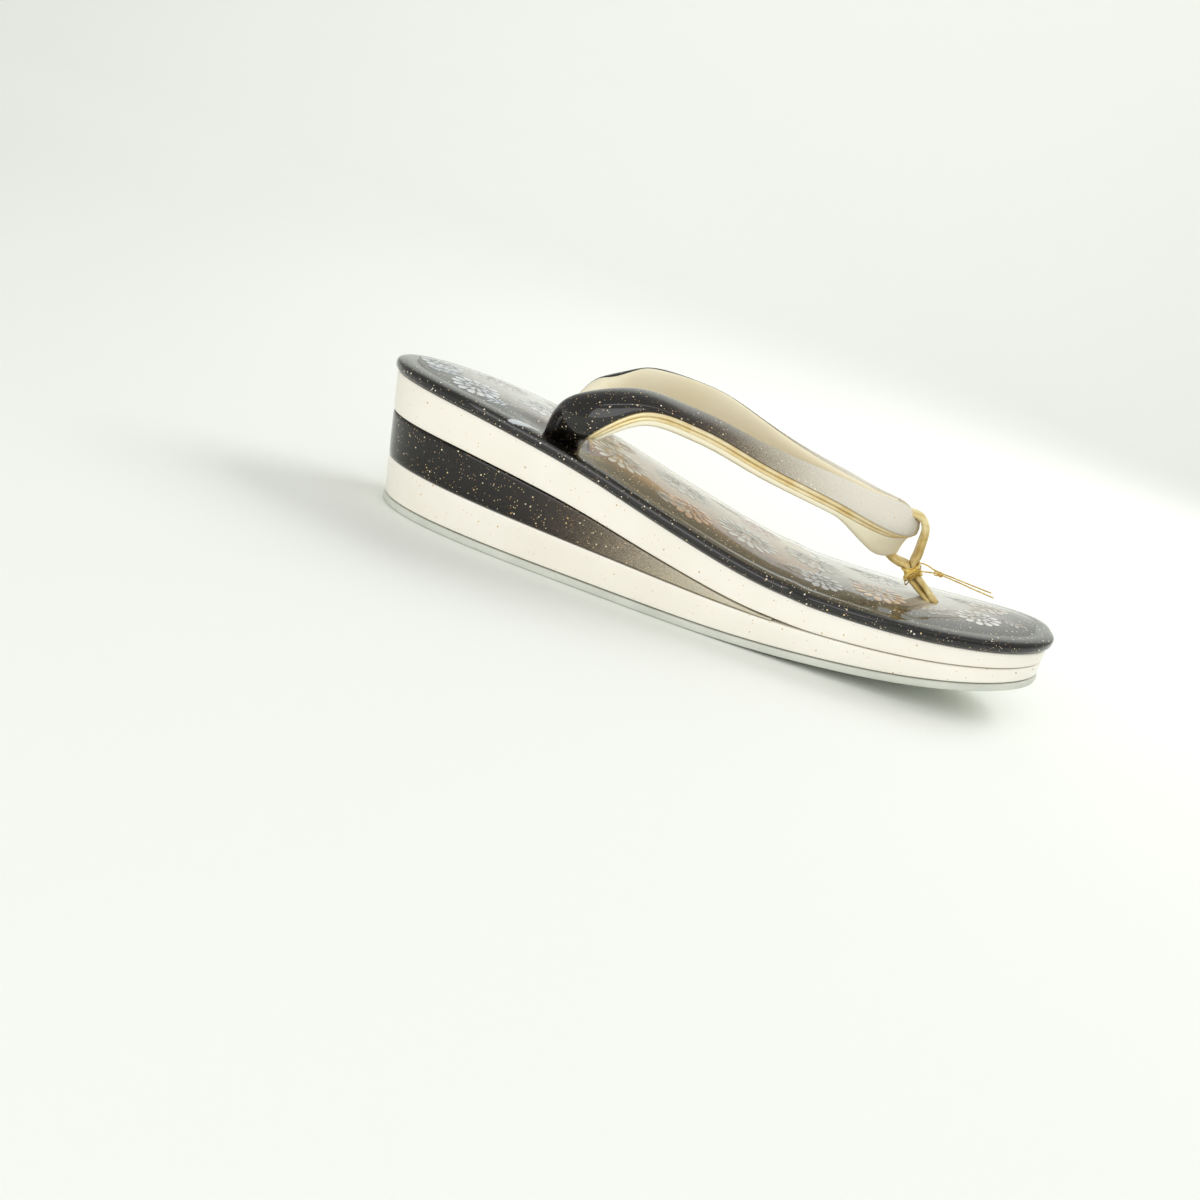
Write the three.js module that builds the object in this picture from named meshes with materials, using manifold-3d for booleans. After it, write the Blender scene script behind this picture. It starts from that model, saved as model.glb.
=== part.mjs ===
// A woman's dress zori, right foot: a two-tier sole block with a dark heel wedge between the tiers,
// a padded footbed, a V-shaped strap and a toe loop bound with gold thread.
// Millimetres. +X points to the toe, +Y to the inner side of the foot, +Z up from the floor.
// The origin lies on the floor under the middle of the sandal's length.
import * as THREE from 'three';
import { mergeVertices } from 'three/addons/utils/BufferGeometryUtils.js';
import Module from 'manifold-3d';

const wasm = await Module();
wasm.setup();

// Sole: overall sizes
const soleLength = 240;
const ballWidth = 77;
const toeSpring = 16.3;
const outsoleThickness = 2.6;
const lowerTierAtHeel = 13.0;
const wedgeAtHeel = 14.6;
const upperTierAtHeel = 13.5;
const seamGap = 0.3;

// Sole: shape of the ends and sides
const heelLean = 8.3;
const sideLean = 1.6;
const innerShift = 2.2;
const edgeRound = 0.7;
const outsoleProud = 0.4;
const wedgeEnd = 0.62;
const wedgeTipThickness = 0.5;

// Footbed
const footbedEdgeHeight = 4.2;
const footbedCrown = 1.1;
const footbedOverhang = 1.1;

// Strap
const strapReach = 118;
const strapProud = 0.5;
const strapRise = 22.6;
const strapWidth = 18;
const strapCrown = 2.8;
const strapDepth = 3.4;
const liningDepth = 8.8;
const liningThickness = 1.3;
const pipingHeight = 2.6;
const pipingThickness = 1.6;
const strapEntryAlong = 0.275;
const strapEntryInset = 3.4;
const entryClearance = 0.45;

// Toe loop, its thread binding and the loose thread ends
const loopHoleAhead = 15;
const loopOffset = 1.8;
const innerBow = 1;
const innerSink = 1.2;
const innerLean = 0.2;
const loopWidth = 8.4;
const loopThickness = 2.0;
const strandGap = 0.5;
const bindingRise = 7.9;
const bindingBack = 10.0;
const bindingHeight = 4.2;
const bindingThickness = 0.9;
const bindingTilt = 35;
const loopRise = 18.6;
const loopReach = 11.8;
const threadDiameter = 0.5;

// Fineness of the meshes
const ringCount = 76;
const legSteps = 22;
const loopSteps = 44;
const threadSteps = 20;

// Outline of the sole: half width as a share of half the ball width
const outlineRows = [
  { at: 0.0, half: 0.883 },
  { at: 0.16, half: 0.883 },
  { at: 0.3, half: 0.943 },
  { at: 0.5, half: 1.0 },
  { at: 0.72, half: 0.955 },
  { at: 1.0, half: 0.926 },
];
const heelEnd = { share: 0.24, power: 2.15 };
const toeEnd = { share: 0.29, power: 2.77 };
const springRow = { from: 0.49, power: 2.14 };

// Thickness of each tier along the sole, as a share of its thickness at the heel
const tierRows = [
  { at: 0.0, lower: 1.0, wedge: 1.0, upper: 1.0 },
  { at: 0.15, lower: 0.93, wedge: 0.97, upper: 0.925 },
  { at: 0.3, lower: 0.85, wedge: 0.775, upper: 0.842 },
  { at: 0.45, lower: 0.76, wedge: 0.375, upper: 0.745 },
  { at: 0.62, lower: 0.63, wedge: 0.02, upper: 0.635 },
  { at: 0.8, lower: 0.49, wedge: 0.0, upper: 0.5 },
  { at: 1.0, lower: 0.345, wedge: 0.0, upper: 0.355 },
];

// Rolled edge of the footbed, from its lower rim round to the flat of the top:
// overhang as a share of the overhang, inset and rise as shares of the edge height
const rollRows = [
  { overhang: 0.0, inset: 0.1, rise: 0.0 },
  { overhang: 0.75, inset: 0.0, rise: 0.1 },
  { overhang: 1.0, inset: 0.0, rise: 0.38 },
  { overhang: 0.9, inset: 0.0, rise: 0.62 },
  { overhang: 0.0, inset: 0.03, rise: 0.86 },
  { overhang: 0.0, inset: 0.5, rise: 0.985 },
  { overhang: 0.0, inset: 1.3, rise: 1.03 },
];

// One leg of the strap from its root to the V: place along the reach, out from the middle as a share
// of the spread, height over the root as a share of the rise, width and thickness as shares,
// and the way its outer edge faces: turned out from straight ahead and dipped below level, in degrees
const legRows = [
  { along: -0.024, out: 0.535, up: -0.138, width: 0.68, thick: 0.62, turn: 4, dip: 2 },
  { along: -0.02, out: 0.58, up: 0.07, width: 0.74, thick: 0.74, turn: 8, dip: 8 },
  { along: 0.022, out: 0.885, up: 0.49, width: 0.86, thick: 0.95, turn: 30, dip: 22 },
  { along: 0.165, out: 0.81, up: 0.94, width: 0.88, thick: 1, turn: 68, dip: 10 },
  { along: 0.34, out: 0.605, up: 0.91, width: 0.94, thick: 1, turn: 78, dip: 8 },
  { along: 0.54, out: 0.455, up: 0.71, width: 0.97, thick: 1, turn: 80, dip: 12 },
  { along: 0.755, out: 0.362, up: 0.57, width: 0.96, thick: 1, turn: 76, dip: 20 },
  { along: 0.885, out: 0.262, up: 0.46, width: 0.84, thick: 0.9, turn: 64, dip: 35 },
  { along: 0.945, out: 0.163, up: 0.425, width: 0.7, thick: 0.8, turn: 52, dip: 53 },
  { along: 0.985, out: 0.067, up: 0.412, width: 0.59, thick: 0.7, turn: 36, dip: 69 },
  { along: 1.007, out: -0.06, up: 0.405, width: 0.56, thick: 0.66, turn: 22, dip: 75 },
];

const clamp = (value, low, high) => Math.min(high, Math.max(low, value));

// Smooth value of one column of a table at a station
function along(rows, column, at) {
  let k = 0;
  while (k < rows.length - 2 && at > rows[k + 1].at) k += 1;
  const a = rows[Math.max(k - 1, 0)];
  const b = rows[k];
  const c = rows[k + 1];
  const d = rows[Math.min(k + 2, rows.length - 1)];
  const span = c.at - b.at;
  const t = clamp((at - b.at) / span, 0, 1);
  const startSlope = k === 0 ? c[column] - b[column] : ((c[column] - a[column]) / (c.at - a.at)) * span;
  const lastPair = k + 2 > rows.length - 1;
  const endSlope = lastPair ? c[column] - b[column] : ((d[column] - b[column]) / (d.at - b.at)) * span;
  const t2 = t * t;
  const t3 = t2 * t;
  return (2 * t3 - 3 * t2 + 1) * b[column] + (t3 - 2 * t2 + t) * startSlope
    + (-2 * t3 + 3 * t2) * c[column] + (t3 - t2) * endSlope;
}

// Half width of the sole at a station from heel, 0, to toe, 1
function halfWidth(at) {
  let round = 1;
  if (at < heelEnd.share) {
    const reach = (heelEnd.share - at) / heelEnd.share;
    round = Math.max(0, 1 - reach ** heelEnd.power) ** (1 / heelEnd.power);
  } else if (at > 1 - toeEnd.share) {
    const reach = (at - 1 + toeEnd.share) / toeEnd.share;
    round = Math.max(0, 1 - reach ** toeEnd.power) ** (1 / toeEnd.power);
  }
  return (ballWidth / 2) * along(outlineRows, 'half', at) * round;
}

// The middle of the sole drifts to the inner side towards the toe
const midLine = (at) => innerShift * Math.max(0, (at - 0.5) / 0.5) ** 2;

// Levels of the sole at a station
const floorLine = (at) => toeSpring * Math.max(0, (at - springRow.from) / (1 - springRow.from)) ** springRow.power;
const outsoleTop = (at) => floorLine(at) + outsoleThickness;
const lowerTop = (at) => outsoleTop(at) + seamGap + lowerTierAtHeel * along(tierRows, 'lower', at);
const wedgeThickness = (at) => Math.max(wedgeTipThickness, wedgeAtHeel * along(tierRows, 'wedge', at));
const wedgeTop = (at) => lowerTop(at) + seamGap + wedgeThickness(at);
const tipClear = 0.008;
const tipRun = 0.02;
const tipFade = (at) => clamp((wedgeEnd + tipClear + tipRun - at) / tipRun, 0, 1);
const upperBottom = (at) => lowerTop(at) + seamGap + tipFade(at) * (wedgeThickness(at) + seamGap);
const upperTop = (at) => upperBottom(at) + upperTierAtHeel * along(tierRows, 'upper', at);
const footbedBottom = (at) => upperTop(at) + seamGap;

const xAt = (at) => (at - 0.5) * soleLength;
const stationAt = (x) => clamp(x / soleLength + 0.5, 0, 1);

// A ring of points round the sole at one level, moved out or in along the outline's own normal
function soleRing(level, outset, lastStation = 1) {
  const plan = [];
  for (let k = 0; k < ringCount; k += 1) {
    const turn = (2 * Math.PI * k) / ringCount;
    const at = lastStation * (0.5 - 0.5 * Math.cos(turn));
    const cut = lastStation < 1 && k === ringCount / 2;
    const side = k === 0 || k === ringCount / 2 ? 0 : -Math.sign(Math.sin(turn));
    const lean = clamp(1 - level(at) / upperTop(at), 0, 1);
    const x = xAt(at) + heelLean * lean * (1 - at) ** 4;
    const half = Math.max(0, halfWidth(at) - sideLean * lean * (halfWidth(at) / (ballWidth / 2)));
    plan.push({ x, y: midLine(at) + (cut ? 0 : side * half) });
  }
  return plan.map((point, k) => {
    const next = plan[(k + 1) % ringCount];
    const last = plan[(k + ringCount - 1) % ringCount];
    const run = Math.hypot(next.x - last.x, next.y - last.y);
    const x = point.x + (outset * (next.y - last.y)) / run;
    const y = point.y - (outset * (next.x - last.x)) / run;
    return new THREE.Vector3(x, y, level(stationAt(x)));
  });
}

// A closed mesh from a list of corner points and a list of triangles
function meshFrom(points, triangles) {
  const geometry = new THREE.BufferGeometry();
  geometry.setAttribute('position', new THREE.Float32BufferAttribute(points.flatMap((p) => [p.x, p.y, p.z]), 3));
  geometry.setIndex(triangles);
  return geometry;
}

// Rings stacked into a wall; each ring has as many points as the last
function wall(triangles, ringCountHere, rings) {
  for (let r = 0; r < rings - 1; r += 1) {
    for (let k = 0; k < ringCountHere; k += 1) {
      const next = (k + 1) % ringCountHere;
      const a = r * ringCountHere + k;
      const b = r * ringCountHere + next;
      const c = a + ringCountHere;
      const d = b + ringCountHere;
      triangles.push(a, b, d, a, d, c);
    }
  }
}

// A lid across a sole ring: pairs of points at the same station are joined, heel to toe
function crossLid(triangles, first, facesUp) {
  const quad = (a, b, c, d) => {
    if (facesUp) triangles.push(a, b, c, a, c, d);
    else triangles.push(a, c, b, a, d, c);
  };
  const half = ringCount / 2;
  const corner = (k) => first + ((k + ringCount) % ringCount);
  const tip = (a, b, c) => (facesUp ? triangles.push(a, b, c) : triangles.push(a, c, b));
  tip(corner(0), corner(1), corner(-1));
  for (let k = 1; k < half - 1; k += 1) quad(corner(k), corner(k + 1), corner(-k - 1), corner(-k));
  tip(corner(half - 1), corner(half), corner(half + 1));
}

// One layer of the sole, between two levels, with rounded rims
function layer(bottom, top, outset, lastStation = 1) {
  const rim = (at) => Math.min(edgeRound, (top(at) - bottom(at)) * 0.4);
  const lift = (share) => (at) => bottom(at) + rim(at) * share;
  const drop = (share) => (at) => top(at) - rim(at) * share;
  const rings = [
    soleRing(bottom, outset - edgeRound, lastStation),
    soleRing(lift(0.3), outset - edgeRound * 0.3, lastStation),
    soleRing(lift(1), outset, lastStation),
    soleRing(drop(1), outset, lastStation),
    soleRing(drop(0.3), outset - edgeRound * 0.3, lastStation),
    soleRing(top, outset - edgeRound, lastStation),
  ];
  const triangles = [];
  wall(triangles, ringCount, rings.length);
  crossLid(triangles, 0, false);
  crossLid(triangles, (rings.length - 1) * ringCount, true);
  return meshFrom(rings.flat(), triangles);
}

// The padded footbed: a rolled edge and a top that is crowned across
const crownColumns = 6;

function footbedTopAt(at, across) {
  const flat = footbedBottom(at) + footbedEdgeHeight * rollRows[rollRows.length - 1].rise;
  const nearEnd = clamp(halfWidth(at) / (ballWidth / 2), 0, 1);
  return flat + footbedCrown * nearEnd * (1 - across * across);
}

function footbedGeometry() {
  const rings = rollRows.map((row) => {
    const level = (at) => footbedBottom(at) + footbedEdgeHeight * row.rise;
    return soleRing(level, footbedOverhang * row.overhang - footbedEdgeHeight * row.inset);
  });
  const points = rings.flat();
  const triangles = [];
  wall(triangles, ringCount, rings.length);
  crossLid(triangles, 0, false);
  const first = (rings.length - 1) * ringCount;
  const half = ringCount / 2;
  const rows = [];
  for (let k = 1; k < half; k += 1) {
    const a = points[first + k];
    const b = points[first + ringCount - k];
    const row = [first + k];
    for (let c = 1; c < crownColumns; c += 1) {
      const share = c / crownColumns;
      const middle = a.clone().lerp(b, share);
      middle.z = footbedTopAt(stationAt(middle.x), 2 * share - 1);
      row.push(points.length);
      points.push(middle);
    }
    row.push(first + ringCount - k);
    rows.push(row);
  }
  for (let r = 0; r < rows.length - 1; r += 1) {
    for (let c = 0; c < crownColumns; c += 1) {
      const a = rows[r][c];
      const b = rows[r + 1][c];
      triangles.push(a, b, rows[r + 1][c + 1], a, rows[r + 1][c + 1], rows[r][c + 1]);
    }
  }
  for (let c = 0; c < crownColumns; c += 1) {
    const last = rows[rows.length - 1];
    triangles.push(first, rows[0][c], rows[0][c + 1]);
    triangles.push(last[c], first + half, last[c + 1]);
  }
  return meshFrom(points, triangles);
}

// Where the strap starts and where its V lies, from the sizes of the sole
const strapSpread = ballWidth / 2 + strapProud;
const strapRootX = xAt(strapEntryAlong);
const strapRootZ = footbedTopAt(strapEntryAlong, 1 - strapEntryInset / halfWidth(strapEntryAlong));
const loopHoleX = strapRootX + strapReach + loopHoleAhead;
const loopHoleAlong = stationAt(loopHoleX);

// Centre and outward direction of the outer leg's sections, from its root to just past the middle
const sections = legRows.map((row) => {
  const turn = THREE.MathUtils.degToRad(row.turn);
  const dip = THREE.MathUtils.degToRad(row.dip);
  const centre = new THREE.Vector3(
    strapRootX + strapReach * row.along,
    -strapSpread * row.out,
    strapRootZ + strapRise * row.up,
  );
  const outward = new THREE.Vector3(
    Math.cos(dip) * Math.cos(turn),
    -Math.cos(dip) * Math.sin(turn),
    -Math.sin(dip),
  );
  return { ...row, centre, outward };
});

const curveOf = (pick, kind) => new THREE.CatmullRomCurve3(sections.map(pick), false, kind);
const legMiddle = curveOf((row) => row.centre, 'centripetal');
const legOutward = curveOf((row) => row.outward, 'catmullrom');
const legShares = curveOf((row) => new THREE.Vector3(row.width, row.thick, row.along), 'catmullrom');

// Frame of the outer leg at a share of its length
function legFrame(share) {
  const centre = legMiddle.getPoint(share);
  const tangent = legMiddle.getTangent(share);
  const outward = legOutward.getPoint(share);
  outward.addScaledVector(tangent, -outward.dot(tangent)).normalize();
  const up = new THREE.Vector3().crossVectors(outward, tangent).normalize();
  const shares = legShares.getPoint(share);
  return { centre, tangent, outward, up, width: strapWidth * shares.x, thick: shares.y, forward: clamp(shares.z, 0, 1) };
}

// The V lies a little to the inner side, and the inner leg bows out further than the outer one
function skewed(x, y) {
  const share = clamp((x - strapRootX) / strapReach, 0, 1.1);
  const bow = y > 0 ? innerBow * Math.sin(Math.PI * Math.min(1, share)) * Math.min(1, y / (strapSpread * 0.3)) : 0;
  return y + loopOffset * share ** 3 + bow;
}

// The inner leg also lies a little lower than the outer one, and leans out more
function settled(x, y, z) {
  if (y <= 0) return z;
  const share = clamp((x - strapRootX) / strapReach, 0, 1);
  return z - Math.sin(Math.PI * share) ** 2 * (innerSink + innerLean * (y - strapSpread * 0.6));
}

// End faces of a sweep: the section's own outline filled with triangles, one face turned round
function endFaces(triangles, outline, last) {
  const flat = outline.map(([a, b]) => new THREE.Vector2(a, b));
  const faces = THREE.ShapeUtils.triangulateShape(flat, []);
  faces.forEach(([a, b, c]) => {
    triangles.push(a, b, c);
    triangles.push(last + a, last + c, last + b);
  });
}

// A sweep along the outer leg, cut at the middle, mirrored and joined into one V
function strapSolid(section, lead = 0) {
  const points = [];
  let outline = [];
  for (let k = 0; k <= legSteps; k += 1) {
    const frame = legFrame(k / legSteps);
    if (k === 0) frame.centre.addScaledVector(frame.tangent, -lead);
    outline = section(frame).reverse();
    outline.forEach(([across, rise]) => {
      points.push(frame.centre.clone().addScaledVector(frame.outward, across).addScaledVector(frame.up, rise));
    });
  }
  const triangles = [];
  wall(triangles, outline.length, legSteps + 1);
  endFaces(triangles, outline, legSteps * outline.length);
  const beyond = new THREE.BoxGeometry(soleLength * 2, ballWidth * 2, soleLength * 2);
  beyond.translate(0, ballWidth, 0);
  const leg = solidFrom(meshFrom(points, triangles)).subtract(solidFrom(beyond));
  const both = geometryFrom(leg.add(leg.mirror([0, 1, 0])));
  const place = both.attributes.position;
  for (let k = 0; k < place.count; k += 1) {
    const [x, y, z] = [place.getX(k), place.getY(k), place.getZ(k)];
    place.setXYZ(k, x, skewed(x, y), settled(x, y, z));
  }
  return solidFrom(both);
}

// The same section with every side moved out by a clearance
function grown(section, clearance) {
  return (frame) => {
    const outline = section(frame);
    const count = outline.length;
    return outline.map(([across, rise], k) => {
      const last = outline[(k + count - 1) % count];
      const next = outline[(k + 1) % count];
      const inX = across - last[0];
      const inY = rise - last[1];
      const outX = next[0] - across;
      const outY = next[1] - rise;
      const inLength = Math.hypot(inX, inY);
      const outLength = Math.hypot(outX, outY);
      const x = inY / inLength + outY / outLength;
      const y = -inX / inLength - outX / outLength;
      const reach = Math.max(0.8, (x * x + y * y) / 2);
      return [across + (clearance * x) / reach, rise + (clearance * y) / reach];
    });
  };
}

// Depth of the lining below the piping: shallow along the legs, flaring out to the V
const flare = { from: 0.76, run: 0.2 };

function liningDrop(frame) {
  const share = clamp((frame.forward - flare.from) / flare.run, 0, 1);
  return liningDepth * (0.05 + 0.95 * share * share * (3 - 2 * share));
}

// The lining's lip along the strap's inner edge starts just after the root and ends where the legs meet
const lip = { from: 0.03, run: 0.12, under: 0.12, fadeFrom: 0.8, fadeRun: 0.12 };

function lipShare(frame) {
  const rise = clamp((frame.forward - lip.from) / lip.run, 0, 1);
  const fall = clamp((lip.fadeFrom + lip.fadeRun - frame.forward) / lip.fadeRun, 0, 1);
  const share = Math.min(rise, fall);
  return share * share * (3 - 2 * share);
}

const pipingTop = 0.65;
const wallClear = 0.35;
const stepClear = 0.25;
const lipProud = 0.45;
const lipDrop = 0.5;
const lipRound = 0.3;

// Face and padding of the strap: a low arch over a rounded base, with a step for the piping
const strapCore = (frame) => {
  const half = frame.width / 2;
  const step = half - pipingThickness - stepClear;
  const outline = [
    [half, 0],
    [half * 0.96, strapCrown * 0.25],
    [half * 0.78, strapCrown * 0.62],
    [half * 0.42, strapCrown * 0.92],
    [0, strapCrown],
    [-half * 0.42, strapCrown * 0.92],
    [-half * 0.78, strapCrown * 0.62],
    [-half * 0.96, strapCrown * 0.25],
    [-half, -strapCrown * 0.15],
    [-half * 0.94, -strapDepth * 0.6],
    [-half * 0.76, -strapDepth],
    [half * 0.56, -strapDepth],
    [step, -strapDepth * 0.7],
    [step, -wallClear],
  ];
  return outline.map(([across, rise]) => [across, rise * frame.thick]);
};

// Cream lining under the padding, with a lip that shows along the inner edge; its top runs through
// the padding and the piping, and is cut back to fit round both
const strapLining = (frame) => {
  const half = frame.width / 2;
  const drop = liningDrop(frame);
  const thick = liningThickness * Math.min(1, frame.thick + 0.1);
  const shown = lipShare(frame);
  const edge = (wallClear + thick * 0.7) * shown - half * lip.under * (1 - shown);
  const side = -strapDepth * 0.6 * frame.thick;
  const under = -strapDepth * frame.thick - wallClear - thick;
  const shelf = -(pipingTop + pipingHeight) * frame.thick - wallClear;
  const flared = (across, rise, share) => [
    across - drop * share * frame.outward.z,
    rise - drop * share * frame.up.z,
  ];
  return [
    [half + lipProud * 0.45, -(pipingTop + pipingHeight / 2) * frame.thick],
    [half - pipingThickness * 1.5, -strapDepth * 0.3 * frame.thick],
    [-half * 0.85, -strapDepth * 0.3 * frame.thick],
    [-half - edge, -lipRound],
    [-half * 0.96 - edge - thick * 0.3 * shown, side - lipRound * 0.67],
    [-half * (0.7 + 0.08 * shown) - thick * 0.4 * shown, under],
    flared(0, under, 0.3),
    flared(half * 0.56, under, 0.78),
    flared(half * 0.82, Math.min(under, shelf - lipDrop), 0.9),
    flared(half + lipProud * 0.22, shelf - lipDrop, 0.7),
    flared(half + lipProud, shelf - lipDrop * 0.6, 0.25),
  ];
};

// Flat gold piping between the face's outer edge and the lining
const pipingCorners = 8;
const strapPiping = (frame) => {
  const half = frame.width / 2;
  const middle = -pipingTop - pipingHeight / 2;
  const points = [];
  for (let k = 0; k < pipingCorners; k += 1) {
    const turn = (2 * Math.PI * (k + 0.5)) / pipingCorners;
    const across = half - pipingThickness * 0.2 + (pipingThickness / 2) * Math.cos(turn);
    points.push([across, (middle + (pipingHeight / 2) * Math.sin(turn)) * frame.thick]);
  }
  return points;
};

// Solids for cuts and joins
function solidFrom(geometry) {
  const bare = geometry.clone();
  bare.deleteAttribute('normal');
  bare.deleteAttribute('uv');
  const merged = mergeVertices(bare, 1e-4);
  return new wasm.Manifold(new wasm.Mesh({
    numProp: 3,
    vertProperties: new Float32Array(merged.attributes.position.array),
    triVerts: new Uint32Array(merged.index.array),
  }));
}

function geometryFrom(solid) {
  const mesh = solid.getMesh();
  const geometry = new THREE.BufferGeometry();
  geometry.setAttribute('position', new THREE.BufferAttribute(new Float32Array(mesh.vertProperties), 3));
  geometry.setIndex(new THREE.BufferAttribute(new Uint32Array(mesh.triVerts), 1));
  return geometry;
}

// The toe loop's flat band, swept along a path in its own upright plane.
// It is as wide as the loop in front and gathered where it passes behind the strap's V.
const gathered = { width: 0.6, from: 0.44, to: 0.76, run: 0.1 };

function loopShare(share) {
  const rise = clamp((share - gathered.from) / gathered.run, 0, 1);
  const fall = clamp((gathered.to - share) / gathered.run, 0, 1);
  const pinch = Math.min(rise, fall);
  return 1 - (1 - gathered.width) * pinch * pinch * (3 - 2 * pinch);
}

function bandSweep(path, growth = 0, widthShare = loopShare) {
  const curve = new THREE.CatmullRomCurve3(path.map(([x, z]) => new THREE.Vector3(x, loopOffset, z)), false, 'centripetal');
  const points = [];
  let count = 0;
  for (let k = 0; k <= loopSteps; k += 1) {
    const centre = curve.getPoint(k / loopSteps);
    const tangent = curve.getTangent(k / loopSteps);
    const out = new THREE.Vector3(-tangent.z, 0, tangent.x).normalize();
    const half = (loopWidth / 2) * widthShare(k / loopSteps) + growth;
    const deep = loopThickness / 2 + growth;
    const section = [
      [half, -deep * 0.45],
      [half, deep * 0.45],
      [half * 0.72, deep],
      [-half * 0.72, deep],
      [-half, deep * 0.45],
      [-half, -deep * 0.45],
      [-half * 0.72, -deep],
      [half * 0.72, -deep],
    ];
    count = section.length;
    section.forEach(([across, rise]) => {
      points.push(new THREE.Vector3(centre.x + out.x * rise, centre.y + across, centre.z + out.z * rise));
    });
  }
  const triangles = [];
  wall(triangles, count, loopSteps + 1);
  const last = loopSteps * count;
  for (let c = 1; c < count - 1; c += 1) {
    triangles.push(0, c + 1, c);
    triangles.push(last, last + c, last + c + 1);
  }
  return meshFrom(points, triangles);
}

// Places on the toe loop, worked out from the hole
const loopHoleZ = footbedTopAt(loopHoleAlong, 0);
const bindingX = loopHoleX - bindingBack;
const bindingZ = loopHoleZ + bindingRise;
const strandPitch = loopThickness + strandGap;

// A point of the binding's own frame: forward across the strands, and up along them
function atBinding(forward, up) {
  const tilt = THREE.MathUtils.degToRad(bindingTilt);
  return [
    bindingX + forward * Math.cos(tilt) - up * Math.sin(tilt),
    bindingZ + forward * Math.sin(tilt) + up * Math.cos(tilt),
  ];
}

// The strands between hole and binding: back from the hole and up from it, as shares of the binding's place
const frontStrandRows = [
  { back: -0.1, up: 0.16 },
  { back: 0.12, up: 0.37 },
  { back: 0.46, up: 0.58 },
];
const rearStrandRows = [
  { back: 0.72, up: 0.4 },
  { back: 0.43, up: 0.21 },
  { back: 0.2, up: 0.07 },
];

// The loop over the V: back from the binding as a share of its reach, and up as a share of its rise
const overRows = [
  { back: 0.01, up: 0.32 },
  { back: 0.02, up: 0.51 },
  { back: 0.08, up: 0.82 },
  { back: 0.27, up: 0.985 },
  { back: 0.68, up: 1.0 },
  { back: 0.94, up: 0.9 },
  { back: 1.0, up: 0.67 },
  { back: 0.985, up: 0.4 },
  { back: 0.96, up: 0.17 },
  { back: 0.82, up: 0.04 },
  { back: 0.54, up: 0.015 },
];

// The part of the loop that presses a notch into the V
const notch = { above: 0.8, width: 0.8 };

function loopPath() {
  const half = strandPitch / 2;
  const endZ = footbedBottom(loopHoleAlong) + seamGap;
  const nearHole = ({ back, up }) => [loopHoleX - bindingBack * back, loopHoleZ + bindingRise * up];
  const overStrap = ({ back, up }) => [bindingX - loopReach * back, bindingZ + loopRise * up];
  const through = (forward) => [-0.5, 0.05, 0.65].map((share) => atBinding(forward, bindingHeight * share));
  return [
    [loopHoleX + half, endZ],
    [loopHoleX + half, loopHoleZ],
    ...frontStrandRows.map(nearHole),
    ...through(half),
    ...overRows.map(overStrap),
    ...through(-half).reverse(),
    ...rearStrandRows.map(nearHole),
    [loopHoleX - half, loopHoleZ - strandGap * 1.2],
    [loopHoleX - half, endZ],
  ];
}

// Oval holes through the footbed: one for each root of the strap and one for the toe loop
const holeCorners = 24;

function ovalHole(x, y, halfX, halfY, turn = 0) {
  const shape = new THREE.Shape();
  for (let k = 0; k < holeCorners; k += 1) {
    const angle = (2 * Math.PI * k) / holeCorners;
    const px = halfX * Math.sign(Math.cos(angle)) * Math.abs(Math.cos(angle)) ** 0.6;
    const py = halfY * Math.sign(Math.sin(angle)) * Math.abs(Math.sin(angle)) ** 0.6;
    if (k === 0) shape.moveTo(px, py);
    else shape.lineTo(px, py);
  }
  const depth = footbedEdgeHeight * 8;
  const geometry = new THREE.ExtrudeGeometry(shape, { depth, bevelEnabled: false, steps: 1 });
  geometry.rotateZ(turn);
  geometry.translate(x, y, footbedTopAt(stationAt(x), 0) - depth / 2);
  return geometry;
}

function footbedWithHoles() {
  let solid = solidFrom(footbedGeometry());
  [strapCore, strapLining, strapPiping].forEach((section) => {
    solid = solid.subtract(strapSolid(grown(section, entryClearance), footbedEdgeHeight));
  });
  const loopHalf = strandPitch / 2 + loopThickness / 2 + entryClearance * 2.2;
  solid = solid.subtract(solidFrom(ovalHole(loopHoleX, loopOffset, loopHalf, loopWidth / 2 + entryClearance * 2.5)));
  return geometryFrom(solid);
}

// Gold thread wound round the two strands: a collar with a ridge for each turn
const bindingTurns = 4;
const collarCorners = 16;

function bindingGeometry() {
  const innerX = strandPitch / 2 + loopThickness / 2 + entryClearance * 1.3;
  const innerY = loopWidth / 2 + wallClear;
  const profile = [];
  const levels = bindingTurns * 2;
  for (let k = 0; k <= levels; k += 1) {
    const ridge = k % 2 === 1 ? bindingThickness : bindingThickness * 0.55;
    profile.push([ridge, -bindingHeight / 2 + (bindingHeight * k) / levels]);
  }
  profile.push([0, bindingHeight / 2], [0, -bindingHeight / 2]);
  const points = [];
  profile.forEach(([out, up]) => {
    for (let k = 0; k < collarCorners; k += 1) {
      const angle = (2 * Math.PI * k) / collarCorners;
      const cos = Math.cos(angle);
      const sin = Math.sin(angle);
      const forward = (innerX + out) * Math.sign(cos) * Math.abs(cos) ** 0.55;
      const across = (innerY + out) * Math.sign(sin) * Math.abs(sin) ** 0.55;
      const [x, z] = atBinding(forward, up);
      points.push(new THREE.Vector3(x, loopOffset + across, z));
    }
  });
  const triangles = [];
  wall(triangles, collarCorners, profile.length);
  const last = (profile.length - 1) * collarCorners;
  for (let k = 0; k < collarCorners; k += 1) {
    const next = (k + 1) % collarCorners;
    triangles.push(last + k, last + next, next, last + k, next, k);
  }
  return meshFrom(points, triangles);
}

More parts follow.
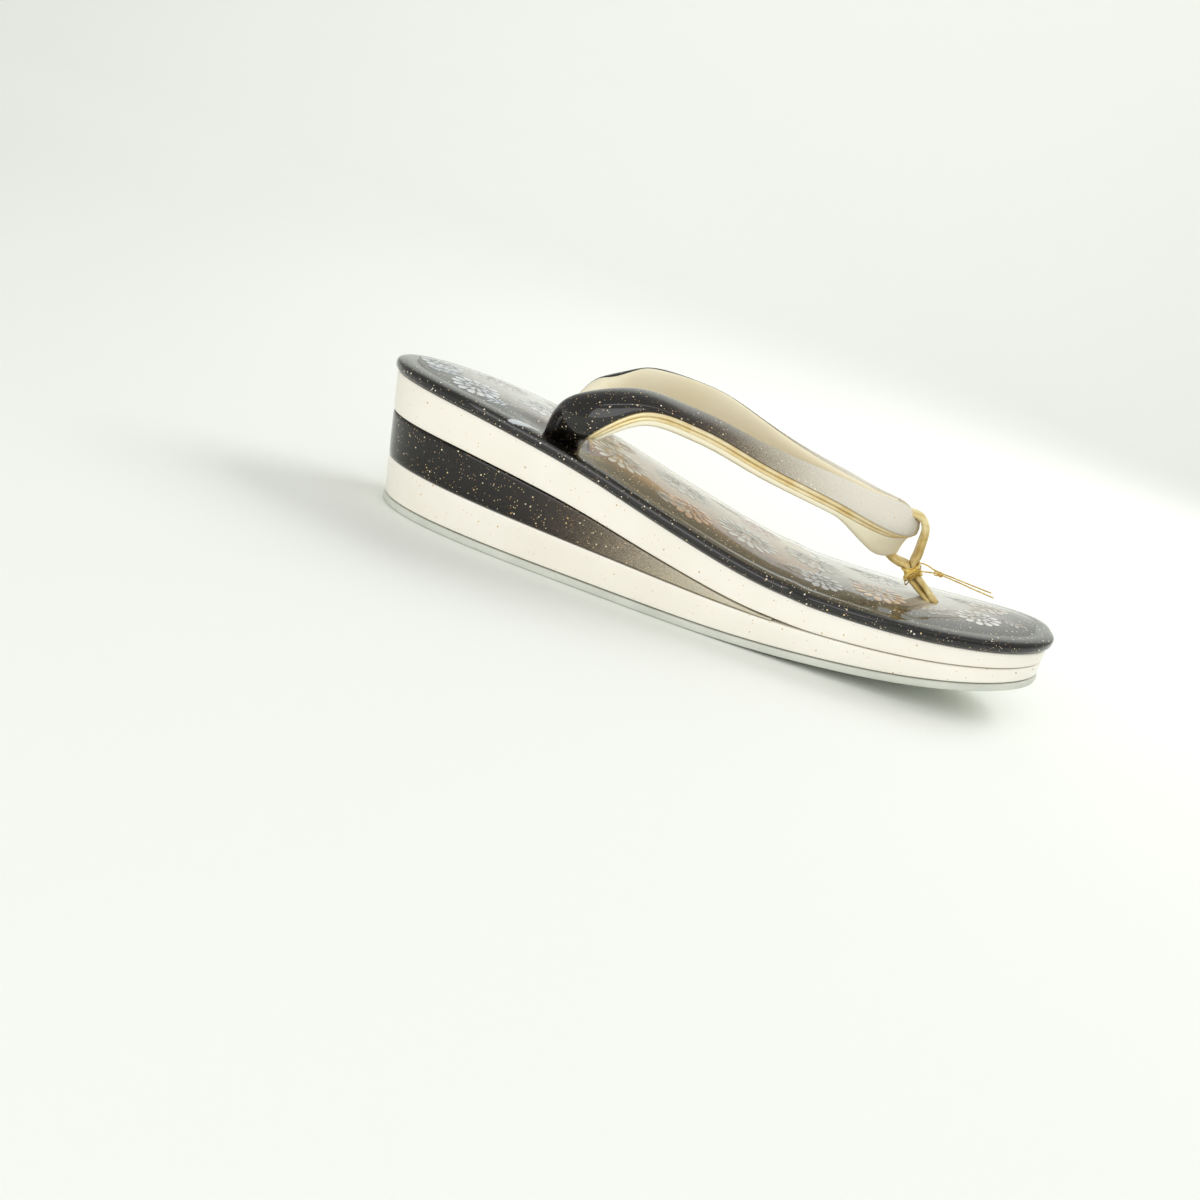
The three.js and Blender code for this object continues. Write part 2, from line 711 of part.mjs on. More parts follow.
// Loose ends of the binding thread: they leave its sides, come forward and settle on the footbed
const threadRoutes = {
  thread_end_a: [
    [70.2, 7.5, 38.1],
    [72.2, 8.3, 38.6],
    [74.4, 8.9, 38.4],
    [76.6, 9.1, 37.8],
    [79.0, 9.9, 37.4],
    [81.5, 11.3, 37.0],
    [84.1, 12.8, 36.7],
    [86.8, 14.4, 36.3],
    [89.5, 16.0, 35.9],
    [92.2, 17.7, 35.5],
    [94.9, 19.4, 35.1],
    [97.6, 21.0, 34.7],
    [100.2, 22.6, 34.4],
  ],
  thread_end_b: [
    [70.2, -3.9, 37.9],
    [72.5, -4.5, 38.4],
    [75.0, -4.0, 38.9],
    [77.4, -1.9, 38.8],
    [79.8, 0.2, 38.3],
    [82.3, 1.6, 37.9],
    [84.8, 3.0, 37.5],
    [87.3, 4.4, 37.1],
    [89.8, 5.8, 36.6],
    [92.3, 7.2, 36.2],
    [94.8, 8.6, 35.8],
    [97.2, 9.9, 35.4],
    [99.6, 11.3, 35.0],
  ],
};

function threadGeometry(route) {
  const curve = new THREE.CatmullRomCurve3(route.map(([x, y, z]) => new THREE.Vector3(x, y, z)), false, 'centripetal');
  const shape = new THREE.Shape();
  const corners = 8;
  for (let k = 0; k < corners; k += 1) {
    const angle = (2 * Math.PI * k) / corners;
    const x = (threadDiameter / 2) * Math.cos(angle);
    const y = (threadDiameter / 2) * Math.sin(angle);
    if (k === 0) shape.moveTo(x, y);
    else shape.lineTo(x, y);
  }
  return new THREE.ExtrudeGeometry(shape, { steps: threadSteps, extrudePath: curve, bevelEnabled: false });
}

const plain = (color, roughness, metalness) => new THREE.MeshStandardMaterial({ color, roughness, metalness });
const materials = {
  rubber: plain('#b9bdb0', 0.7, 0),
  cream: plain('#ece6d6', 0.3, 0),
  lacquer: plain('#1d1815', 0.15, 0),
  footbed: plain('#3a3533', 0.1, 0),
  strap: plain('#8f8880', 0.3, 0),
  lining: plain('#e9dec2', 0.5, 0),
  gold: plain('#c9a75a', 0.35, 0.6),
  satin: plain('#d8c08a', 0.4, 0.2),
};

const zori = new THREE.Group();

function place(name, geometry, material) {
  const mesh = new THREE.Mesh(geometry, material);
  mesh.name = name;
  zori.add(mesh);
}

place('outsole', layer(floorLine, outsoleTop, outsoleProud), materials.rubber);
place('lower_platform', layer((at) => outsoleTop(at) + seamGap, lowerTop, 0), materials.cream);
place('heel_wedge', layer((at) => lowerTop(at) + seamGap, wedgeTop, 0, wedgeEnd), materials.lacquer);
place('upper_platform', layer(upperBottom, upperTop, 0), materials.cream);
place('footbed', footbedWithHoles(), materials.footbed);

// Room for the loop in the strap, open above where the loop lies over the V
function loopRoom() {
  const over = overRows.filter((row) => row.up > notch.above);
  const path = over.map(({ back, up }) => [bindingX - loopReach * back, bindingZ + loopRise * up]);
  const band = solidFrom(bandSweep(path, wallClear, () => notch.width));
  const open = wasm.Manifold.hull([band, band.translate([0, 0, strapWidth])]);
  return solidFrom(bandSweep(loopPath(), wallClear)).add(open);
}

// The padding gives way where the loop presses on it, and the lining fits round padding and piping
const loopClear = loopRoom();
const coreSolid = strapSolid(strapCore);
const pipingSolid = strapSolid(strapPiping);
const liningSolid = strapSolid(strapLining)
  .subtract(strapSolid(grown(strapCore, wallClear), 1))
  .subtract(strapSolid(grown(strapPiping, wallClear * 1.6), 1));

// The largest piece that a cut leaves
function cutBy(solid, tool) {
  const pieces = solid.subtract(tool).decompose();
  pieces.sort((a, b) => b.volume() - a.volume());
  return geometryFrom(pieces[0]);
}

place('strap', cutBy(coreSolid, loopClear), materials.strap);
place('strap_lining', cutBy(liningSolid, loopClear), materials.lining);
place('strap_piping', cutBy(pipingSolid, loopClear), materials.gold);
place('toe_loop', bandSweep(loopPath()), materials.satin);
place('loop_binding', bindingGeometry(), materials.gold);

Object.entries(threadRoutes).forEach(([name, route]) => place(name, threadGeometry(route), materials.gold));

export default zori;
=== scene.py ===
# A dress zori for the right foot, seen from its outer side.
# Sizes and tables are in millimetres, and meshes are made in metres.
import random
from math import copysign, cos, exp, hypot, pi, radians, sin

import bpy
from mathutils import Matrix, Vector, noise


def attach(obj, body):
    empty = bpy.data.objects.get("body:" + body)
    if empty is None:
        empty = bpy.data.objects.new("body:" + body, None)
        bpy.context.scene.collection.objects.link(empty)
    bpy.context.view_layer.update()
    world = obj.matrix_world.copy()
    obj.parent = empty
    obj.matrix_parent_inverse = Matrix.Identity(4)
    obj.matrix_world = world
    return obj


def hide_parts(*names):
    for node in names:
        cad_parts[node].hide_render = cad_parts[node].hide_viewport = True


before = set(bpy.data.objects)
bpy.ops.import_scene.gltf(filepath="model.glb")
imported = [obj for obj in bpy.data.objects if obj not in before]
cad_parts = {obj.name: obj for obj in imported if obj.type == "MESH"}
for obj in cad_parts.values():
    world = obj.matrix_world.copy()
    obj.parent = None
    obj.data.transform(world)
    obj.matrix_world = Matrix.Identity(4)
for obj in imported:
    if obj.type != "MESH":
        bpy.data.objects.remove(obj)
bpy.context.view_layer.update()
mm = 0.001
weld = 0.02 * mm
random.seed(7)

# Camera, at the photograph's angle to the shoe

view = {
    "place": (2.4, -552.7, 134.8),
    "right": (0.9399, 0.1349, 0.3138),
    "down": (0.3373, -0.2213, -0.915),
    "ahead": (-0.054, 0.9658, -0.2535),
    "lens": 48.94,
}
bpy.ops.object.camera_add()
camera = bpy.context.object
camera.data.lens = view["lens"]
camera.data.sensor_width = 36
axes = Matrix((view["right"], [-v for v in view["down"]], [-v for v in view["ahead"]])).transposed()
camera.matrix_world = Matrix.Translation(Vector(view["place"]) * mm) @ axes.to_4x4()
bpy.context.scene.camera = camera
print("camera set")

# Small helpers


def clamp(value, low, high):
    return min(high, max(low, value))


def smooth(value, start, end):
    share = clamp((value - start) / (end - start), 0, 1)
    return share * share * (3 - 2 * share)


# point of a smooth curve through the points, at a share of its length
def splinePoint(points, share, even=False):
    place = (len(points) - 1) * clamp(share, 0, 1)
    k = min(int(place), len(points) - 2)
    t = place - k
    b, c = Vector(points[k]), Vector(points[k + 1])
    a = Vector(points[k - 1]) if k > 0 else b * 2 - c
    d = Vector(points[k + 2]) if k + 2 < len(points) else c * 2 - b
    if even:
        startPull, endPull = (c - a) * 0.5, (d - b) * 0.5
    else:
        g0, g1, g2 = [max((q - p).length ** 0.5, 1e-4) for p, q in ((a, b), (b, c), (c, d))]
        startPull = ((b - a) / g0 - (c - a) / (g0 + g1) + (c - b) / g1) * g1
        endPull = ((c - b) / g1 - (d - b) / (g1 + g2) + (d - c) / g2) * g1
    t2, t3 = t * t, t * t * t
    return (
        b * (2 * t3 - 3 * t2 + 1) + startPull * (t3 - 2 * t2 + t)
        + c * (3 * t2 - 2 * t3) + endPull * (t3 - t2)
    )


def splineAhead(points, share):
    low, high = max(share - 1e-4, 0), min(share + 1e-4, 1)
    return (splinePoint(points, high) - splinePoint(points, low)).normalized()


# smooth value of one column of a table at a station
def tableValue(rows, column, at):
    k = 0
    while k < len(rows) - 2 and at > rows[k + 1]["at"]:
        k += 1
    b, c = rows[k], rows[k + 1]
    a, d = rows[max(k - 1, 0)], rows[min(k + 2, len(rows) - 1)]
    span = c["at"] - b["at"]
    t = clamp((at - b["at"]) / span, 0, 1)
    start = end = c[column] - b[column]
    if k > 0:
        start = (c[column] - a[column]) / (c["at"] - a["at"]) * span
    if k + 2 < len(rows):
        end = (d[column] - b[column]) / (d["at"] - b["at"]) * span
    t2, t3 = t * t, t * t * t
    return (
        (2 * t3 - 3 * t2 + 1) * b[column] + (t3 - 2 * t2 + t) * start
        + (3 * t2 - 2 * t3) * c[column] + (t3 - t2) * end
    )


def onlyThis(piece):
    if bpy.context.mode != "OBJECT":
        bpy.ops.object.mode_set(mode="OBJECT")
    bpy.ops.object.select_all(action="DESELECT")
    piece.select_set(True)
    bpy.context.view_layer.objects.active = piece


# a mesh object from points in millimetres
def pieceFrom(name, points, faces):
    mesh = bpy.data.meshes.new(name)
    mesh.from_pydata([tuple(c * mm for c in p) for p in points], [], faces)
    mesh.validate()
    piece = bpy.data.objects.new(name, mesh)
    bpy.context.scene.collection.objects.link(piece)
    onlyThis(piece)
    return piece


# faces between rings that have the same number of points
def ringFaces(rings):
    count = len(rings[0])
    faces = []
    for r in range(len(rings) - 1):
        for k in range(count):
            n = (k + 1) % count
            faces.append((r * count + k, r * count + n, (r + 1) * count + n, (r + 1) * count + k))
    return faces


# rings joined into a tube with closed ends
def loft(name, rings):
    count = len(rings[0])
    faces = ringFaces(rings)
    faces.append(tuple(reversed(range(count))))
    faces.append(tuple(range((len(rings) - 1) * count, len(rings) * count)))
    return pieceFrom(name, [p for ring in rings for p in ring], faces)


# mesh steps on the whole of a piece, each with its settings
def edited(piece, *steps):
    onlyThis(piece)
    bpy.ops.object.mode_set(mode="EDIT")
    bpy.ops.mesh.select_all(action="SELECT")
    for step, settings in steps:
        step(**settings)
    bpy.ops.object.mode_set(mode="OBJECT")


# all faces turned to point out
def outward(piece):
    edited(piece, (bpy.ops.mesh.normals_make_consistent, {"inside": False}))


def apply(piece, kind, **settings):
    onlyThis(piece)
    modifier = piece.modifiers.new(kind.lower(), kind)
    for key, value in settings.items():
        setattr(modifier, key, value)
    bpy.ops.object.modifier_apply(modifier=modifier.name)


def smoothed(piece, levels=0, angle=None):
    if levels:
        apply(piece, "SUBSURF", levels=levels, render_levels=levels)
    onlyThis(piece)
    if angle is None:
        bpy.ops.object.shade_smooth()
    else:
        bpy.ops.object.shade_smooth_by_angle(angle=radians(angle))


# the tool's shape taken out of the piece
def cut(piece, tool, keepTool=False):
    apply(piece, "BOOLEAN", operation="DIFFERENCE", solver="EXACT", object=tool)
    if not keepTool:
        bpy.data.objects.remove(tool)


def join(pieces, name):
    onlyThis(pieces[0])
    for piece in pieces[1:]:
        piece.select_set(True)
    bpy.ops.object.join()
    pieces[0].name = name
    return pieces[0]


# the piece rides on the sandal and stands for these CAD nodes
def mount(piece, slot, *nodes):
    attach(piece, "root")
    if nodes:
        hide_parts(*nodes)


# The two loose ends of the binding thread, on the routes that the part's source has

threadEnds = {
    "diameter": 0.5,
    "thread_end_a": [
        (70.2, 7.5, 38.1), (72.2, 8.3, 38.6), (74.4, 8.9, 38.4), (76.6, 9.1, 37.8), (79.0, 9.9, 37.4),
        (81.5, 11.3, 37.0), (84.1, 12.8, 36.7), (86.8, 14.4, 36.3), (89.5, 16.0, 35.9), (92.2, 17.7, 35.5),
        (94.9, 19.4, 35.1), (97.6, 21.0, 34.7), (100.2, 22.6, 34.4),
    ],
    "thread_end_b": [
        (70.2, -3.9, 37.9), (72.5, -4.5, 38.4), (75.0, -4.0, 38.9), (77.4, -1.9, 38.8), (79.8, 0.2, 38.3),
        (82.3, 1.6, 37.9), (84.8, 3.0, 37.5), (87.3, 4.4, 37.1), (89.8, 5.8, 36.6), (92.3, 7.2, 36.2),
        (94.8, 8.6, 35.8), (97.2, 9.9, 35.4), (99.6, 11.3, 35.0),
    ],
}


def threadCurve(name, points, diameter):
    curve = bpy.data.curves.new(name, "CURVE")
    curve.dimensions = "3D"
    spline = curve.splines.new("POLY")
    spline.points.add(len(points) - 1)
    for place, point in zip(spline.points, points):
        place.co = (*(c * mm for c in point), 1)
    curve.bevel_depth = diameter / 2 * mm
    curve.bevel_resolution = 3
    curve.use_fill_caps = True
    thread = bpy.data.objects.new(name, curve)
    bpy.context.scene.collection.objects.link(thread)
    return thread


endPieces = []
for end in ("thread_end_a", "thread_end_b"):
    route = [splinePoint(threadEnds[end], k / 60) for k in range(61)]
    piece = threadCurve("loose_" + end, route, threadEnds["diameter"])
    onlyThis(piece)
    bpy.ops.object.convert(target="MESH")
    bpy.ops.object.shade_smooth()
    mount(piece, "gold_thread", end)
    endPieces.append(piece)

# The sole's own shape, as the part's source has it

sole = {
    "length": 240, "ballWidth": 77, "toeSpring": 16.3, "outsole": 2.6, "lowerAtHeel": 13.0,
    "wedgeAtHeel": 14.6, "upperAtHeel": 13.5, "gap": 0.3, "heelLean": 8.3, "sideLean": 1.6, "innerShift": 2.2,
    "wedgeEnd": 0.62, "wedgeTip": 0.5,
    # where the outline starts to round off, as a share of the length, and how square each end is
    "heelRoundTo": 0.24, "heelPower": 2.15, "toeRoundFrom": 0.71, "toeRoundRun": 0.29, "toePower": 2.77,
    "springFrom": 0.49, "springRun": 0.51, "springPower": 2.14,
}
outlineRows = [
    {"at": 0.0, "half": 0.883}, {"at": 0.16, "half": 0.883}, {"at": 0.3, "half": 0.943},
    {"at": 0.5, "half": 1.0}, {"at": 0.72, "half": 0.955}, {"at": 1.0, "half": 0.926},
]
tierRows = [
    {"at": 0.0, "lower": 1.0, "wedge": 1.0, "upper": 1.0},
    {"at": 0.15, "lower": 0.93, "wedge": 0.97, "upper": 0.925},
    {"at": 0.3, "lower": 0.85, "wedge": 0.775, "upper": 0.842},
    {"at": 0.45, "lower": 0.76, "wedge": 0.375, "upper": 0.745},
    {"at": 0.62, "lower": 0.63, "wedge": 0.02, "upper": 0.635},
    {"at": 0.8, "lower": 0.49, "wedge": 0.0, "upper": 0.5},
    {"at": 1.0, "lower": 0.345, "wedge": 0.0, "upper": 0.355},
]


def halfWidth(at):
    bend = 1
    heel, toe = sole["heelRoundTo"], sole["toeRoundFrom"]
    if at < heel:
        bend = max(0, 1 - ((heel - at) / heel) ** sole["heelPower"]) ** (1 / sole["heelPower"])
    elif at > toe:
        bend = max(0, 1 - ((at - toe) / sole["toeRoundRun"]) ** sole["toePower"]) ** (1 / sole["toePower"])
    return sole["ballWidth"] / 2 * tableValue(outlineRows, "half", at) * bend


def midLine(at):
    return sole["innerShift"] * max(0, (at - 0.5) / 0.5) ** 2


def lowerTop(at):
    lifted = max(0, (at - sole["springFrom"]) / sole["springRun"])
    spring = sole["toeSpring"] * lifted ** sole["springPower"]
    return spring + sole["outsole"] + sole["gap"] + sole["lowerAtHeel"] * tableValue(tierRows, "lower", at)


def wedgeThickness(at):
    return max(sole["wedgeTip"], sole["wedgeAtHeel"] * tableValue(tierRows, "wedge", at))


def upperTop(at):
    fade = clamp((sole["wedgeEnd"] + 0.028 - at) / 0.02, 0, 1)
    bottom = lowerTop(at) + sole["gap"] + fade * (wedgeThickness(at) + sole["gap"])
    return bottom + sole["upperAtHeel"] * tableValue(tierRows, "upper", at)


def footbedBottom(at):
    return upperTop(at) + sole["gap"]


def xAt(at):
    return (at - 0.5) * sole["length"]


def stationAt(x):
    return clamp(x / sole["length"] + 0.5, 0, 1)


def soleRing(level, outset, count):
    plan = []
    for k in range(count):
        turn = 2 * pi * k / count
        at = 0.5 - 0.5 * cos(turn)
        side = 0 if k in (0, count // 2) else -copysign(1, sin(turn))
        lean = clamp(1 - level(at) / upperTop(at), 0, 1)
        half = max(0, halfWidth(at) * (1 - sole["sideLean"] * lean / (sole["ballWidth"] / 2)))
        plan.append((xAt(at) + sole["heelLean"] * lean * (1 - at) ** 4, midLine(at) + side * half))
    ring = []
    for k, (x, y) in enumerate(plan):
        nextPoint, lastPoint = plan[(k + 1) % count], plan[k - 1]
        runX, runY = nextPoint[0] - lastPoint[0], nextPoint[1] - lastPoint[1]
        run = hypot(runX, runY)
        outX = x + outset * runY / run
        ring.append(Vector((outX, y - outset * runX / run, level(stationAt(outX)))))
    return ring


# Outsole, platform tiers and heel wedge: the CAD solids, merged and rounded


# a copy of a node, welded, rounded, and larger by the press of the layers, so their seams are hairlines
def roundedCopy(node, name, levels=2, press=0.1):
    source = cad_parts[node]
    piece = bpy.data.objects.new(name, source.data.copy())
    bpy.context.scene.collection.objects.link(piece)
    onlyThis(piece)
    if piece.data.has_custom_normals:
        bpy.ops.mesh.customdata_custom_splitnormals_clear()
    flatness = {"face_threshold": radians(60), "shape_threshold": radians(80)}
    edited(
        piece,
        (bpy.ops.mesh.remove_doubles, {"threshold": weld}),
        (bpy.ops.mesh.tris_convert_to_quads, flatness),
    )
    smoothed(piece, levels)
    apply(piece, "DISPLACE", strength=press * mm, mid_level=0)
    return piece


layers = {}
for node, name, slotName in (
    ("outsole", "outsole_sheet", "rubber"),
    ("lower_platform", "lower_tier", "cream_enamel"),
    ("heel_wedge", "wedge_tier", "dark_lacquer"),
    ("upper_platform", "upper_tier", "cream_enamel"),
):
    layers[name] = roundedCopy(node, name)
    mount(layers[name], slotName, node)
print("sole layers made")

# Footbed: a rolled edge and a crowned top, dimpled where strap and loop go in

footbed = {
    "edgeHeight": 4.2, "crown": 1.1, "swell": 1.0, "overhang": 1.1,
    "ringCount": 280, "columns": 44, "rollSteps": 18,
    "rootHole": {"x": -56.4, "y": 22.4, "halfX": 6.6, "halfY": 3.0, "dimple": 1.5, "reach": 7.0},
    "loopHole": {"x": 79.0, "y": 1.8, "halfX": 2.6, "halfY": 4.4, "dimple": 0.25, "reach": 4.0},
}
# out share of the overhang, inset and rise as shares of the edge's height
rollRows = [
    (0.0, 0.1, 0.0), (0.75, 0.0, 0.1), (1.0, 0.0, 0.38), (0.9, 0.0, 0.62),
    (0.0, 0.03, 0.86), (0.0, 0.5, 0.985), (0.0, 1.3, 1.03),
]


def holes():
    root, loop = footbed["rootHole"], footbed["loopHole"]
    yield {**root, "y": -root["y"]}
    yield root
    yield loop


def dimpleAt(x, y):
    drop = 0
    for hole in holes():
        far = hypot((x - hole["x"]) / hole["halfX"], (y - hole["y"]) / hole["halfY"])
        away = max(0, far - 1) * min(hole["halfX"], hole["halfY"])
        drop += hole["dimple"] * (1 - smooth(away, 0, hole["reach"])) ** 1.5
    return drop


def footbedTop(x, share):
    at = stationAt(x)
    nearEnd = clamp(halfWidth(at) / (sole["ballWidth"] / 2), 0, 1)
    flat = footbedBottom(at) + footbed["edgeHeight"] * rollRows[-1][2]
    return flat + footbed["crown"] * nearEnd * (1 - share * share)


# the pad swells a little over its firm base, most of all near its edge
def padTop(x, share):
    nearEnd = clamp(halfWidth(stationAt(x)) / (sole["ballWidth"] / 2), 0, 1)
    return footbedTop(x, share) + footbed["swell"] * nearEnd * (1 - abs(share) ** 2.8)


def footbedTopEdge(at):
    return footbedBottom(at) + footbed["edgeHeight"]


def footbedMesh():
    count, columns = footbed["ringCount"], footbed["columns"]
    rings = []
    for k in range(footbed["rollSteps"] + 1):
        outShare, inset, rise = splinePoint(rollRows, k / footbed["rollSteps"])
        rings.append(
            soleRing(
                lambda at, r=rise: footbedBottom(at) + footbed["edgeHeight"] * r,
                footbed["overhang"] * outShare - footbed["edgeHeight"] * inset,
                count,
            )
        )
    points = [p for ring in rings for p in ring]
    faces = ringFaces(rings)
    first = (len(rings) - 1) * count
    half = count // 2
    rows = []
    for k in range(1, half):
        a, b = points[first + k], points[first + count - k]
        row = [first + k]
        for c in range(1, columns):
            share = 0.5 - 0.5 * cos(pi * c / columns)
            middle = a.lerp(b, share)
            middle.z = padTop(middle.x, 2 * share - 1)
            row.append(len(points))
            points.append(middle)
        row.append(first + count - k)
        rows.append(row)
    for r in range(len(rows) - 1):
        for c in range(columns):
            faces.append((rows[r][c], rows[r + 1][c], rows[r + 1][c + 1], rows[r][c + 1]))
    for c in range(columns):
        faces.append((first, rows[0][c], rows[0][c + 1]))
        faces.append((rows[-1][c], first + half, rows[-1][c + 1]))
    for k in range(1, half - 1):
        faces.append((k, count - k, count - k - 1, k + 1))
    faces.append((0, count - 1, 1))
    faces.append((half - 1, half + 1, half))
    for p in points[count * 8:]:
        p.z -= dimpleAt(p.x, p.y)
    return pieceFrom("footbed_pad", points, faces)


footbedPad = footbedMesh()
outward(footbedPad)

# Strap: one padded band from root to root round the V

strap = {
    "reach": 118, "spread": 39, "rise": 22.6, "width": 18, "crown": 2.8, "depth": 3.4, "rootAt": 0.275,
    "rootInset": 3.4, "pipingTop": 0.65, "pipingHeight": 2.6, "pipingThick": 1.6, "clear": 0.35,
    "liningDepth": 8.8, "liningThick": 1.3, "flareFrom": 0.76, "flareRun": 0.2, "shiftIn": 1.8,
    "innerBow": 1, "innerSink": 1.2, "innerLean": 0.2, "rearLean": 0.65, "puff": 0.9, "holeClear": 0.22,
    "steps": 72,
}
legRows = [
    # along, out, up, width, thick, turn, dip
    (-0.024, 0.535, -0.138, 0.68, 0.62, 4, 2),
    (-0.02, 0.58, 0.07, 0.74, 0.74, 8, 8),
    (0.022, 0.885, 0.49, 0.86, 0.95, 30, 22),
    (0.165, 0.81, 0.94, 0.88, 1.0, 68, 10),
    (0.34, 0.605, 0.91, 0.94, 1.0, 78, 8),
    (0.54, 0.455, 0.71, 0.97, 1.0, 80, 12),
    (0.755, 0.362, 0.57, 0.96, 1.0, 76, 20),
    (0.885, 0.262, 0.46, 0.84, 0.9, 64, 35),
    (0.945, 0.163, 0.425, 0.7, 0.8, 52, 53),
    (0.985, 0.067, 0.412, 0.59, 0.7, 36, 69),
    (1.007, -0.06, 0.405, 0.56, 0.66, 22, 75),
]
rootX = xAt(strap["rootAt"])
rootZ = footbedTop(rootX, 1 - strap["rootInset"] / halfWidth(strap["rootAt"]))
legMiddle, legOut, legShares = [], [], []
for alongShare, out, up, width, thick, turn, dip in legRows:
    turn, dip = radians(turn), radians(dip)
    x = rootX + strap["reach"] * alongShare
    legMiddle.append((x, -strap["spread"] * out, rootZ + strap["rise"] * up))
    legOut.append((cos(dip) * cos(turn), -cos(dip) * sin(turn), -sin(dip)))
    legShares.append((width, thick, alongShare))


def legFrame(share):
    ahead = splineAhead(legMiddle, share)
    out = splinePoint(legOut, share, even=True)
    out = (out - ahead * out.dot(ahead)).normalized()
    width, thick, forward = splinePoint(legShares, share, even=True)
    return {
        "centre": splinePoint(legMiddle, share),
        "ahead": ahead,
        "out": out,
        "up": out.cross(ahead).normalized(),
        "half": strap["width"] * width / 2,
        "thick": thick,
        "forward": clamp(forward, 0, 1),
    }


def skewed(x, y):
    share = clamp((x - rootX) / strap["reach"], 0, 1.1)
    bow = 0
    if y > 0:
        bow = strap["innerBow"] * sin(pi * min(1, share)) * min(1, y / (strap["spread"] * 0.3))
    return y + strap["shiftIn"] * share ** 3 + bow


# the inner leg lies a little lower than the outer one, and leans out more, most of all at its rear
def settled(x, y, z):
    if y <= 0:
        return z
    share = clamp((x - rootX) / strap["reach"], 0, 1)
    middle = strap["spread"] * (0.9 - 0.85 * share)
    rear = smooth(share, 0.0, 0.12) * (1 - smooth(share, 0.3, 0.8))
    z -= rear * strap["rearLean"] * (y - middle)
    lean = strap["innerLean"] * (y - strap["spread"] * 0.6)
    return z - sin(pi * share) ** 2 * (strap["innerSink"] + lean)


# how much of the lining shows above the inner edge: none at the root and at the V
def lipShare(leg):
    return min(smooth(leg["forward"], 0.03, 0.15), 1 - smooth(leg["forward"], 0.8, 0.92))


# the padded face, from its outer edge over its crown and back underneath
def coreSection(leg):
    half, depth = leg["half"], strap["depth"]
    crown = strap["crown"] * (1 + strap["puff"] * (1 - smooth(leg["forward"], 0.0, 0.3)))
    step = half - strap["pipingThick"] - 0.25
    tuck = 1 - lipShare(leg)
    outline = [
        (half, 0), (half * 0.96, crown * 0.25), (half * 0.78, crown * 0.62), (half * 0.42, crown * 0.92),
        (0, crown), (-half * 0.42, crown * 0.92), (-half * 0.78, crown * 0.62), (-half * 0.96, crown * 0.25),
        (-half, -crown * 0.15), (-half * 0.94 + 1.2 * tuck, -depth * (0.6 - 0.1 * tuck)),
        (-half * 0.76 + 0.6 * tuck, -depth), (half * 0.56, -depth), (step, -depth * 0.7),
        (step, -strap["clear"]),
    ]
    return [(a, r * leg["thick"]) for a, r in outline]


# the lining: round the inner edge, under the padding, and flared down at its outer side near the V
def liningSection(leg):
    half, thick, depth = leg["half"], leg["thick"], strap["depth"]
    wall = strap["liningThick"] * min(1, thick + 0.1)
    flare = smooth(leg["forward"], strap["flareFrom"], strap["flareFrom"] + strap["flareRun"])
    drop = strap["liningDepth"] * (0.05 + 0.95 * flare)
    under = -depth * thick - strap["clear"] - wall
    lip = lipShare(leg)
    edge = (strap["clear"] + wall * 0.7) * lip - 0.1 * (1 - lip)
    shelf = -(strap["pipingTop"] + strap["pipingHeight"]) * thick - strap["clear"]

    def flared(a, r, share):
        return (a - drop * share * leg["out"].z, r - drop * share * leg["up"].z)

    return [
        (half + 0.2, -(strap["pipingTop"] + strap["pipingHeight"] / 2) * thick),
        (half - strap["pipingThick"] * 1.5, -depth * 0.3 * thick),
        (-half * 0.85, -depth * 0.3 * thick),
        (-half - edge, -0.3),
        (-half * 0.96 - edge - wall * 0.3 * lip, -depth * 0.6 * thick - 0.2),
        (-half * (0.7 + 0.08 * lip) - wall * 0.4 * lip, under),
        flared(0, under, 0.3),
        flared(half * 0.56, under, 0.78),
        flared(half * 0.82, min(under, shelf - 0.5), 0.9),
        flared(half + 0.1, shelf - 0.5, 0.7),
        flared(half + 0.45, shelf - 0.3, 0.25),
    ]


# one of the two rolls that lie side by side in the piping
def pipingSection(low, radius=0.78, corners=10):
    def section(leg):
        turns = [2 * pi * k / corners for k in range(corners)]
        across = leg["half"] - strap["pipingThick"] * 0.3
        return [
            (across + radius * cos(turn), (radius * sin(turn) - low) * leg["thick"])
            for turn in turns
        ]
    return section


# a section's outline, moved outwards
def grown(section, clearance):
    def wider(leg):
        outline = section(leg)
        count = len(outline)
        result = []
        for k, (a, r) in enumerate(outline):
            last, ahead = outline[k - 1], outline[(k + 1) % count]
            inLength = hypot(a - last[0], r - last[1])
            outLength = hypot(ahead[0] - a, ahead[1] - r)
            x = (r - last[1]) / inLength + (ahead[1] - r) / outLength
            y = -(a - last[0]) / inLength - (ahead[0] - a) / outLength
            reach = max(0.8, (x * x + y * y) / 2)
            result.append((a + clearance * x / reach, r + clearance * y / reach))
        return result
    return wider


# a sweep along the outer leg, cut at the middle, mirrored, and leant to the foot's inner side
def bandPiece(name, section, levels, lead=0):
    rings = []
    for k in range(strap["steps"] + 1):
        leg = legFrame(k / strap["steps"])
        centre = leg["centre"] - leg["ahead"] * (lead if k == 0 else 0)
        rings.append([centre + leg["out"] * a + leg["up"] * r for a, r in reversed(section(leg))])
    piece = loft(name, rings)
    middle = {"plane_co": (0, 0, 0), "plane_no": (0, 1, 0), "clear_outer": True, "threshold": 1e-7}
    edited(piece, (bpy.ops.mesh.bisect, middle))
    apply(piece, "MIRROR", use_axis=(False, True, False), merge_threshold=weld)
    for v in piece.data.vertices:
        x, y, z = [c / mm for c in v.co]
        v.co.y, v.co.z = skewed(x, y) * mm, settled(x, y, z) * mm
    if levels:
        apply(piece, "SUBSURF", levels=levels, render_levels=levels)
    outward(piece)
    return piece


